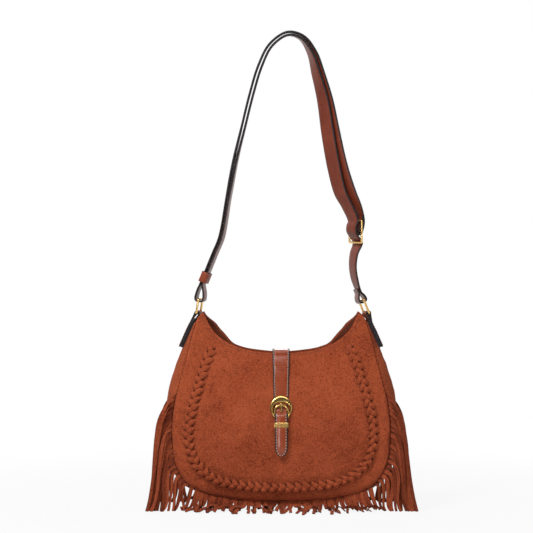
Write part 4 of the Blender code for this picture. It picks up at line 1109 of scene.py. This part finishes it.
class Frame:
    """A flat piece of hardware: its width, its long direction and the way out of its plane."""

    def __init__(self, centre, lean, turn):
        self.centre = centre
        self.along = Vector((math.sin(lean), 0.0, math.cos(lean)))
        flat = Vector((math.sin(turn), -math.cos(turn), 0.0))
        self.width = square_to(flat, self.along)
        self.normal = self.width.cross(self.along).normalized()
        if self.normal.x < 0:
            self.normal = -self.normal

    def at(self, along, normal, width=0.0):
        """A point from its distances along, off and across the piece."""
        return self.centre + self.along * along + self.normal * normal + self.width * width


LEFT_RING = Frame(Vector((-0.1057, 0.0, 0.2615)), math.radians(8.0), math.radians(-12.0))
RIGHT_RING = Frame(Vector((0.1075, 0.0, 0.2605)), math.radians(-22.0), math.radians(16.0))
SLIDER = Frame(Vector((0.0965, 0.0, 0.3580)), 0.0, math.radians(38.0))


def rounded_outline(half_width, half_height, corner, steps):
    """Points round a rectangle with round corners, as (across, up) pairs."""
    result = []
    for quarter in range(4):
        across = (half_width - corner) * (1 if quarter in (0, 3) else -1)
        up = (half_height - corner) * (1 if quarter in (0, 1) else -1)
        for step in range(steps + 1):
            angle = math.pi / 2 * (quarter + step / steps)
            result.append((across + corner * math.cos(angle), up + corner * math.sin(angle)))
    return result


def bar_frame(bm, place, half_width, half_height, radius):
    """A round bar bent to a rectangle, in the plane of a piece of hardware."""
    outline = rounded_outline(half_width, half_height, RING_CORNER, 7)
    tube(bm, [place.at(up, 0.0, across) for across, up in outline], radius, 16, True)


def make_hardware():
    """The rings and the slider."""
    for side, place in (("left", LEFT_RING), ("right", RIGHT_RING)):
        bm = bmesh.new()
        bar_frame(bm, place, RING_HALF_WIDTH, RING_HALF_HEIGHT, RING_WIRE + RING_PLATE)
        keep("ring_" + side + "_wire", bm, ["brass"], ["ring_" + side], side + "_ring", 60.0)
    bm = bmesh.new()
    bar_frame(bm, SLIDER, SLIDER_HALF_WIDTH, SLIDER_HALF_HEIGHT, SLIDER_BAR)
    bar = [SLIDER.at(0.0, 0.0, SLIDER_HALF_WIDTH * (step / 4 - 1)) for step in range(9)]
    tube(bm, bar, SLIDER_BAR * 0.93, 16)
    keep("strap_slider_frame", bm, ["brass"], ["strap_slider"], sharp=60.0)


def make_tab(name, place, hand):
    """A folded leather tab round a ring's lower bar, stitched down on the gusset."""
    step = TAB_LEATHER + TAB_LEG_GAP
    near = SUEDE / 2 + TAB_SEAT + TAB_LEATHER / 2
    bar = place.at(-RING_HALF_HEIGHT, 0.0)
    shares = [from_left(SEAM.share_at_height(height), hand) for height in TAB_HEIGHTS]
    legs = [[gusset_place(share, 0.0) + outward(share) * offset for share in shares]
            for offset in (near, near + step)]
    round_bar = RING_WIRE + 2.4 * GAP + TAB_LEATHER / 2
    travel = square_to(bar - legs[0][-1], place.width)
    away = place.width.cross(travel)
    if away.x * hand < 0:
        away = -away
    loop = []
    for degrees in (-20, 15, 52, 90, 128, 165, 200):
        angle = math.radians(degrees)
        loop.append(bar + (travel * math.sin(angle) - away * math.cos(angle)) * round_bar)
    level = Vector((0.0, -1.0, 0.0))
    path = [(point, level) for point in legs[0]] + [(point, place.width) for point in loop]
    path += [(point, level) for point in reversed(legs[1])]
    stations = along_stations(path, 6, TAB_WIDTH / 2)
    bm = bmesh.new()
    strap_mesh(bm, stations, [TAB_LEATHER] * len(stations))
    keep(name + "_leather", bm, ["loop", "edge"], [name], sharp=50.0)
    seat = SUEDE / 2 - 0.0003
    deep = near + step - seat
    core = [(gusset_place(share, 0.0) + outward(share) * (seat + deep / 2), level) for share in shares]
    core.append((legs[0][-1].lerp(bar, 0.45), place.width))
    core = along_stations(core, 6, TAB_WIDTH / 2 - 0.0002)
    bm = bmesh.new()
    strap_mesh(bm, core, [deep] * len(core))
    keep(name + "_core", bm, ["edge", "edge"], sharp=50.0)
    bm = bmesh.new()
    last = len(stations) - 2
    face = 1 if strap_face(stations, TAB_LEATHER, 0.0, 1, last + 1)[1].x * hand > 0 else -1
    inset = TAB_WIDTH / 2 - TAB_STITCH_INSET
    lines = [[(across, index) for index in range(last - 17, last + 1)] for across in (-inset, inset)]
    lines.append([(inset * (index / 4 - 1), last) for index in range(9)])
    for line in lines:
        stitches(bm, [strap_face(stations, TAB_LEATHER, across, face, index) for across, index in line])
    keep(name + "_stitches", bm, ["thread"])


def eye(place, room, neck, half_gap):
    """Points of a strap round a ring's upper bar, from the inner side to the outer side."""
    radius = RING_WIRE + 2 * GAP + STRAP_LEATHER / 2
    belly = radius + room
    half = [(neck, half_gap), (neck * 0.5, belly * 0.85), (0.0, belly), (-radius * 0.72, belly * 0.68)]
    whole = [(up, -off) for up, off in half] + [(-radius, 0.0)] + half[::-1]
    return [(place.at(RING_HALF_HEIGHT + up, off), place.width) for up, off in whole]


# The pair of runs over the bag, as (x, z, turn of the width in degrees, gap between the runs).
LEFT_RUN = ((-0.0770, 0.3505, -12.0, 0.0010), (-0.0677, 0.4030, -8.0, 0.0013),
            (-0.0590, 0.4500, -4.0, 0.0018), (-0.0482, 0.4950, 0.0, 0.0022),
            (-0.0383, 0.5350, 0.0, 0.0024), (-0.0270, 0.5720, 0.0, 0.0024),
            (-0.0130, 0.5990, 0.0, 0.0020), (0.0085, 0.6135, 2.0, 0.0018),
            (0.0265, 0.6085, 8.0, 0.0020), (0.0400, 0.5890, 20.0, 0.0024),
            (0.0480, 0.5620, 34.0, 0.0030))
INNER_RUN = ((0.0542, 0.5270, 46.0), (0.0605, 0.4850, 54.0), (0.0682, 0.4420, 56.0),
             (0.0768, 0.4080, 52.0), (0.0860, 0.3900, 44.0))
OUTER_RUN = ((0.0600, 0.5270, 46.0), (0.0682, 0.4850, 54.0), (0.0780, 0.4420, 56.0),
             (0.0895, 0.4080, 52.0), (0.0975, 0.3900, 44.0))
LOWER_RUN = ((0.0945, 0.3290, 30.0), (0.0930, 0.3130, 26.0), (0.0955, 0.2960, 25.0))


def turned(degrees):
    """A level width direction, turned from the front-to-back line."""
    angle = math.radians(degrees)
    return Vector((math.sin(angle), -math.cos(angle), 0.0))


def single_run(points):
    """Points and widths of a run, from its (x, z, turn) table."""
    return [(Vector((x, 0.0, z)), turned(turn)) for x, z, turn in points]


def pair_offset(points, side):
    """The outer run, side 1, or the inner run, side -1, of the pair."""
    result = []
    for index, (x, z, turn, gap) in enumerate(points):
        before, after = neighbours(points, index)
        along = Vector((after[0] - before[0], 0.0, after[1] - before[1])).normalized()
        shift = (STRAP_LEATHER + gap) / 2 * side
        result.append((Vector((x, 0.0, z)) + Vector((-along.z, 0.0, along.x)) * shift, turned(turn)))
    return result


def keeper_line():
    """The straight stretch of the left runs that the keeper slides on."""
    low = LEFT_RING.at(RING_HALF_HEIGHT + LOOP_NECK, 0.0)
    high = Vector((LEFT_RUN[0][0], 0.0, LEFT_RUN[0][1]))
    return low, high, (high - low).normalized()


def strap_path():
    """The whole strap, from its sewn end at the right ring to its sewn end at the slider."""
    half_gap = (STRAP_LEATHER + STRAP_PAIR_GAP) / 2
    across = SLIDER_BAR + STRAP_PAIR_GAP + STRAP_LEATHER / 2 + 0.0002
    lay = STRAP_LEATHER + 0.0009
    path = [(RIGHT_RING.at(RING_HALF_HEIGHT + STRAP_TAIL, -half_gap), RIGHT_RING.width)]
    path += eye(RIGHT_RING, LOOP_ROOM * 0.8, END_NECK, half_gap)
    path += single_run(reversed(LOWER_RUN))
    for up, off in ((-SLIDER_HALF_HEIGHT, across), (-SLIDER_HALF_HEIGHT / 2, -0.0018),
                    (0.0, -across - lay), (SLIDER_HALF_HEIGHT / 2, -across - lay),
                    (SLIDER_HALF_HEIGHT, -across - 0.0006)):
        path.append((SLIDER.at(up, off), SLIDER.width))
    path += single_run(reversed(INNER_RUN))
    low, high, _along = keeper_line()
    run = []
    for share in (0.10, 0.35, 0.68):
        point = low.lerp(high, share)
        run.append((point.x, point.z, LEFT_RUN[0][2], LEFT_RUN[0][3]))
    run += list(LEFT_RUN)
    path += reversed(pair_offset(run, -1))
    path += reversed(eye(LEFT_RING, LOOP_ROOM, LOOP_NECK, half_gap))
    path += pair_offset(run, 1)
    path += single_run(OUTER_RUN)
    for up, off in ((SLIDER_HALF_HEIGHT, across + lay), (SLIDER_HALF_HEIGHT / 2, across + lay * 0.8),
                    (0.0, across),
                    (-across * 0.72, across * 0.70), (-across, 0.0),
                    (-across * 0.72, -across * 0.70), (0.0, -across),
                    (SLIDER_HALF_HEIGHT / 2, -0.0004), (SLIDER_HALF_HEIGHT, across),
                    (SLIDER_HALF_HEIGHT + 0.006, across + 0.0004)):
        path.append((SLIDER.at(up, off), SLIDER.width))
    return path


def make_strap():
    """The shoulder strap, one strip of leather with painted edges, and the loop that slides on it."""
    stations = along_stations(strap_path(), 8, STRAP_WIDTH / 2)
    full = [STRAP_LEATHER + 0.0008 * ease((centre.z - 0.395) / 0.030) for centre, _, _ in stations]
    bm = bmesh.new()
    strap_mesh(bm, stations, full, edge=0.0011)
    keep("shoulder_strap_leather", bm, ["strap", "edge"], ["shoulder_strap"], sharp=50.0)
    low, _high, along = keeper_line()
    centre = low + along * (KEEPER_UP - LOOP_NECK)
    width = square_to(turned(LEFT_RUN[0][2]), along)
    normal = width.cross(along).normalized()
    across = STRAP_WIDTH / 2 + GAP * 2 + KEEPER_LEATHER / 2
    through = (STRAP_LEATHER + STRAP_PAIR_GAP) / 2 + STRAP_LEATHER / 2 + GAP * 3 + KEEPER_LEATHER / 2
    band = [(centre + width * side + normal * up, along, KEEPER_LENGTH / 2)
            for side, up in rounded_outline(across, through, 0.0014, 6)]
    bm = bmesh.new()
    strap_mesh(bm, band, [KEEPER_LEATHER] * len(band), True)
    keep("strap_keeper_leather", bm, ["loop", "edge"], ["strap_keeper"], "keeper", 50.0)


# Front closure

def closure_offset(height):
    """How far the closure strap's middle stands off the front panel's middle, by height."""
    laid = SUEDE / 2 + GAP + CLOSURE_LEATHER / 2
    over = BUCKLE_STAND + BUCKLE_DEPTH * 0.36 + 1.5 * GAP + CLOSURE_LEATHER / 2
    lift = (over - laid) * ease((0.1300 - height) / 0.0095)
    lift += 0.0003 * ramp(height, 0.1800, 0.0150) + 0.0022 * hill(height, 0.1860, 0.0085)
    return laid + lift - 0.0020 * ramp(-height, -0.0840, 0.0140)


def closure_path(plain):
    """Middle points of the closure strap, from the back of the mouth to its tip."""
    edge = mouth_place(0.5, 0.0)
    share = 0.5 + (CLOSURE_TOP_WIDTH / 2 + 2 * GAP) / MOUTH.length
    top = MOUTH.at(share).z + 2 * GAP + CLOSURE_LEATHER / 2
    path = []
    for reach, rise in ((1.0, 0.0), (0.5, 0.67), (0.0, 1.0), (-0.55, 0.90), (-1.06, 0.42)):
        path.append(Vector((0.0, edge.y * reach, top + 0.0030 * rise)))
    heights = [0.1975, 0.191, 0.185, 0.178, 0.171, 0.163]
    for above in (0.0163, 0.0063, -0.0012, -0.0047, -0.0082, -0.0117, -0.0162, -0.0242):
        heights.append(BUCKLE_MIDDLE + above)
    lowest = heights[-1] - CLOSURE_TIP
    for share in (0.67, 0.43, 0.26, 0.145, 0.06, 0.0):
        heights.append(CLOSURE_TIP + lowest * share)
    for height in heights:
        path.append(on_tree(plain, 0.0, height, closure_offset(height))[0])
    return path


def closure_half_width(height):
    """Half of the closure strap's width, which narrows to a rounded point."""
    full = table(((0.0700, CLOSURE_END_WIDTH), (0.1320, 0.0160), (0.1400, 0.0190),
                  (0.2000, CLOSURE_TOP_WIDTH)), height) / 2
    return full * max(1.0 - (1.0 - ramp(height, CLOSURE_TIP, 0.0130)) ** 2.1, 0.0) ** 0.62


def make_closure_strap(plain):
    """The strap from the back of the mouth, down the front and through the buckle."""
    stations = []
    for point in smooth(closure_path(plain), 6):
        if point.z > CLOSURE_TIP + 0.0001 or point.y > -0.01:
            stations.append((point, ACROSS, max(closure_half_width(point.z), 0.0012)))
    bm = bmesh.new()
    swell = [0.0002 + 0.0009 * ease((0.135 - point.z) / 0.02) for point, _width, _half in stations]
    strap_mesh(bm, stations, [CLOSURE_LEATHER] * len(stations), crown=swell, edge=0.0012)
    keep("closure_strap_leather", bm, ["leather", "edge"], ["closure_strap"],
         "closure", 50.0)
    last = len(stations) - 1
    face = 1 if strap_face(stations, CLOSURE_LEATHER, 0.0, 1, last - 11)[1].y < 0 else -1

    def spot(share, index):
        across = share * (stations[index][2] - CLOSURE_STITCH_INSET)
        return strap_face(stations, CLOSURE_LEATHER, across, face, index, 0.0003)

    bm = bmesh.new()
    for low, high in ((0.1465, 1.0), (0.0745, 0.1255)):
        span = [k for k, s in enumerate(stations) if low < s[0].z < high and s[0].y < -0.0105]
        for hand in (-1, 1):
            line = [spot(hand, k) for k in span]
            # A thin tube of dark edge paint, sunk under each stitch line, is painted shade in the stitch
            # holes and groove.
            tube(bm, [point - normal * 0.00045 for point, normal in line], 0.00055, 6, material=1)
            stitches(bm, line, 0.0034, 0.0016, 0.00055)
    turn = []
    for step in range(7):
        angle = math.pi * (step / 6)
        index = min(span[-1] + int(round(1.5 * math.sin(angle))), last)
        across = (stations[span[-1]][2] - CLOSURE_STITCH_INSET) * math.cos(angle)
        turn.append(strap_face(stations, CLOSURE_LEATHER, across, face, index, 0.0003))
    stitches(bm, turn, 0.0028, 0.0015, 0.00050)
    keep("closure_stitches", bm, ["thread", "edge"], body="closure")


def buckle_frame(plain):
    """The buckle's middle and the directions up and out of it."""
    high, low = [on_tree(plain, 0.0, height, BUCKLE_STAND)[0] for height in (BUCKLE_TOP, BUCKLE_BOTTOM)]
    up = (high - low).normalized()
    centre = (high + low) / 2
    centre.z = BUCKLE_MIDDLE
    return centre, up, Vector((0.0, -up.z, up.y))


def make_buckle(plain):
    """A crescent buckle with turned grooves, its inner arch and its short prong."""
    centre, up, out = buckle_frame(plain)
    half = (BUCKLE_TOP - BUCKLE_BOTTOM) / 2
    bm = bmesh.new()
    rings = []
    for cos, sin in circle(96):
        rise = (1 + sin) / 2
        broad = 0.0011 + 0.0035 * rise ** 2.6
        deep = BUCKLE_DEPTH * (0.36 + 0.14 * rise)
        middle = centre + ACROSS * ((BUCKLE_WIDTH / 2 - broad) * cos) + up * ((half - broad) * sin)
        ring = []
        for step, (wide, high) in enumerate(circle(28)):
            groove = 0.5 + 0.5 * math.cos(2 * math.pi * step / 28 * 12.0)
            cut = 1.0 - 0.11 * rise * groove * max(high, 0.0)
            ring.append(middle + (ACROSS * cos + up * sin) * (broad * wide) + out * (deep * high * cut))
        rings.append(ring)
    skin(bm, rings, True)
    foot = ACROSS * (ARCH_HALF_WIDTH + 0.0003)
    arch = [centre + foot - up * ARCH_FOOT]
    for step in range(33):
        angle = math.pi * step / 32
        wide = math.copysign(abs(math.cos(angle)) ** 0.8, math.cos(angle))
        arch.append(centre + ACROSS * (ARCH_HALF_WIDTH * wide) +
                    up * (ARCH_TOP - ARCH_HEIGHT + ARCH_HEIGHT * math.sin(angle) ** 0.85))
    arch.append(centre - foot - up * ARCH_FOOT)
    taper = [0.9] + [0.9 + 0.6 * math.sin(math.pi * step / 32) ** 0.7 for step in range(33)] + [0.9]
    tube(bm, arch, 0.0012, 16, taper=taper)
    keep("closure_buckle_gold", bm, ["gold"], ["closure_buckle"], "closure", 60.0)
    top = centre + up * ARCH_TOP
    hook = 0.0017 + GAP + 0.0006
    points = []
    for degrees in (62, 40, 18, 0):
        angle = math.radians(degrees)
        points.append(top + up * (hook * math.sin(angle)) + out * (hook * math.cos(angle)))
    points.append(top - up * 0.0045 + out * (hook + 0.0004))
    points.append(top - up * 0.0092 + out * (hook + 0.0006))
    bm = bmesh.new()
    line = smooth(points, 6)
    taper = [0.85 + 0.25 * math.sin(math.pi * min(k / 12, 1.0)) for k in range(len(line) - 2)]
    tube(bm, line, 0.0015, 14, taper=taper + [0.8, 0.55])
    keep("closure_prong_gold", bm, ["gold"], ["closure_prong"], "closure", 60.0)


def make_closure_keeper(plain):
    """The flat metal loop below the buckle, with two grooves cut along its face."""
    height = CLOSURE_KEEPER_HEIGHT
    middle, above = [on_tree(plain, 0.0, level, closure_offset(level))[0]
                     for level in (height, height + 0.003)]
    along = (above - middle).normalized()
    out = Vector((0.0, -along.z, along.y))
    metal = 0.0009
    across = closure_half_width(height) + GAP * 2 + metal / 2
    through = CLOSURE_LEATHER / 2 + GAP + metal / 2 + 0.0001
    half = CLOSURE_KEEPER_LENGTH / 2
    profile = []
    for step in range(25):
        level = step / 12.0 - 1.0
        groove = 0.00050 * (hill(level, -0.36, 0.11) + hill(level, 0.36, 0.11))
        rounding = 0.00022 * max(abs(level) - 0.8, 0.0) / 0.2
        profile.append((level * half, metal / 2 - groove - rounding))
    profile += [(half * 0.98, -metal / 2), (-half * 0.98, -metal / 2)]
    outline = rounded_outline(across, through, 0.0009, 6)
    rings = []
    for index, (side, rise) in enumerate(outline):
        before, after = neighbours(outline, index, True)
        way = Vector((after[0] - before[0], after[1] - before[1])).normalized()
        normal = ACROSS * way.y - out * way.x
        point = middle + ACROSS * side + out * rise
        rings.append([point + along * level + normal * thick for level, thick in profile])
    bm = bmesh.new()
    skin(bm, rings, True)
    keep("closure_keeper_gold", bm, ["gold"], ["closure_keeper"], "closure", 50.0)


def make_snap(plain):
    """The magnetic snap, as two turned discs."""
    base, normal = on_tree(plain, 0.0, SNAP_HEIGHT, 0.0)
    floor = SUEDE / 2 + GAP + 0.0001
    ceiling = closure_offset(SNAP_HEIGHT) - CLOSURE_LEATHER / 2 - GAP - 0.0001
    split = floor + (ceiling - floor) * 0.52
    first = normal.orthogonal().normalized()
    second = normal.cross(first)
    bevel = 0.0002
    for name, body, low, high, radius in (
            ("snap_socket", "bag", floor, split - GAP / 2, SNAP_RADIUS),
            ("snap_stud", "closure", split + GAP / 2, ceiling, SNAP_RADIUS * 0.9)):
        rings = []
        for share, level in ((0.02, low), (0.93, low), (1.0, low + bevel), (1.0, high - bevel),
                             (0.93, high), (0.62, high), (0.56, high - bevel), (0.02, high - bevel)):
            rings.append([base + normal * level + (first * cos + second * sin) * (radius * share)
                          for cos, sin in circle(40)])
        bm = bmesh.new()
        skin(bm, rings)
        keep(name + "_metal", bm, ["magnet"], [name], body, 35.0)


# Studio

def aim(made, place, target):
    """Puts a lamp or the camera at a place in the scene and turns it to its target."""
    made.location = place
    made.rotation_euler = (Vector(target) - Vector(place)).to_track_quat("-Z", "Y").to_euler()
    bpy.context.scene.collection.objects.link(made)


def make_camera():
    """The camera in front of the bag, a few degrees above it."""
    lens = bpy.data.cameras.new("camera")
    lens.lens = CAMERA_LENS
    camera = bpy.data.objects.new("camera", lens)
    away = Vector((0.0, -math.cos(CAMERA_RISE), math.sin(CAMERA_RISE))) * CAMERA_DISTANCE
    aim(camera, CAMERA_TARGET + away, CAMERA_TARGET)
    bpy.context.scene.camera = camera


def seen_rays(n):
    """Whether a ray comes from the camera, and whether it comes from a mirror or through glass."""
    path = n.add("ShaderNodeLightPath").outputs
    mirror = n.math("MAXIMUM", path["Is Glossy Ray"], path["Is Transmission Ray"], clamp=True)
    return path["Is Camera Ray"], mirror


def make_world():
    """A white surround for camera and mirror rays, dim towards the studio's dark side."""
    n = Nodes(bpy.data.worlds.new("studio"))
    bpy.context.scene.world = n.owner
    apart = n.add("ShaderNodeSeparateXYZ", {0: n.where.outputs["Generated"]})
    behind = n.span(apart.outputs["Y"], -0.35, 0.35, 0.10, 1.0, "SMOOTHSTEP")
    camera, mirror = seen_rays(n)
    seen = n.math("MAXIMUM", camera, n.math("MULTIPLY", mirror, behind, clamp=True), clamp=True)
    plain = n.math("SUBTRACT", 1.0, mirror, clamp=True)
    ambient = n.math("MULTIPLY", plain, WORLD_LIGHT, clamp=True)
    back = n.tree.nodes["Background"]
    back.inputs["Color"].default_value = (1.0, 1.0, 1.0, 1.0)
    n.put(back.inputs["Strength"], n.math("MAXIMUM", seen, ambient, clamp=True))


def make_floor():
    """A white floor that keeps the bag's shadow and turns wholly white further away."""
    n = Nodes(bpy.data.materials.new("studio_floor"))
    paint = n.tree.nodes["Principled BSDF"]
    paint.inputs["Base Color"].default_value = (0.62, 0.62, 0.62, 1.0)
    paint.inputs["Roughness"].default_value = 0.9
    glow = n.add("ShaderNodeEmission", {"Color": (1.0, 1.0, 1.0, 1.0), "Strength": 1.0})
    seen = n.math("MAXIMUM", *seen_rays(n), clamp=True)
    reach = n.add("ShaderNodeVectorMath", {0: n.place}, operation="LENGTH")
    fade = n.span(reach.outputs["Value"], 0.22, 0.80, FLOOR_GLOW, 1.0, "SMOOTHSTEP")
    mix = n.add("ShaderNodeMixShader", {0: n.math("MULTIPLY", seen, fade, clamp=True),
                                        1: paint.outputs[0], 2: glow.outputs[0]})
    n.put(n.tree.nodes["Material Output"].inputs["Surface"], mix.outputs[0])
    mesh = bpy.data.meshes.new("floor")
    corners = [(FLOOR_REACH * x, FLOOR_REACH * y, 0.0) for x, y in ((-1, -1), (1, -1), (1, 1), (-1, 1))]
    mesh.from_pydata(corners, [], [(0, 1, 2, 3)])
    mesh.materials.append(n.owner)
    floor = bpy.data.objects.new("floor", mesh)
    bpy.context.scene.collection.objects.link(floor)


def make_lamps():
    """Soft lamps: a high key at the front left, a fill, one above, a low strip and one behind."""
    for name, place, target_height, size, power in LAMPS:
        lamp = bpy.data.lights.new(name, "AREA")
        lamp.shape = "RECTANGLE"
        lamp.size, lamp.size_y = size
        lamp.energy = power
        aim(bpy.data.objects.new(name, lamp), place, (0.0, 0.0, target_height))


def dress():
    """Makes every visible piece."""
    front = make_panels()
    plain = surface_tree([[Vector((p.x, -p.y, p.z)) for p in row] for row in grid(11, 16, trimmed_place)])
    make_gusset()
    make_inside()
    make_mouth_trim()
    make_side_seam_shade()
    make_fringe()
    make_braid(front)
    make_hardware()
    make_tab("side_tab_left", LEFT_RING, -1)
    make_tab("side_tab_right", RIGHT_RING, 1)
    make_strap()
    make_closure_strap(plain)
    make_buckle(plain)
    make_closure_keeper(plain)
    make_snap(plain)


make_camera()
dress()
make_world()
make_floor()
make_lamps()
bpy.context.scene.view_settings.view_transform = "Standard"
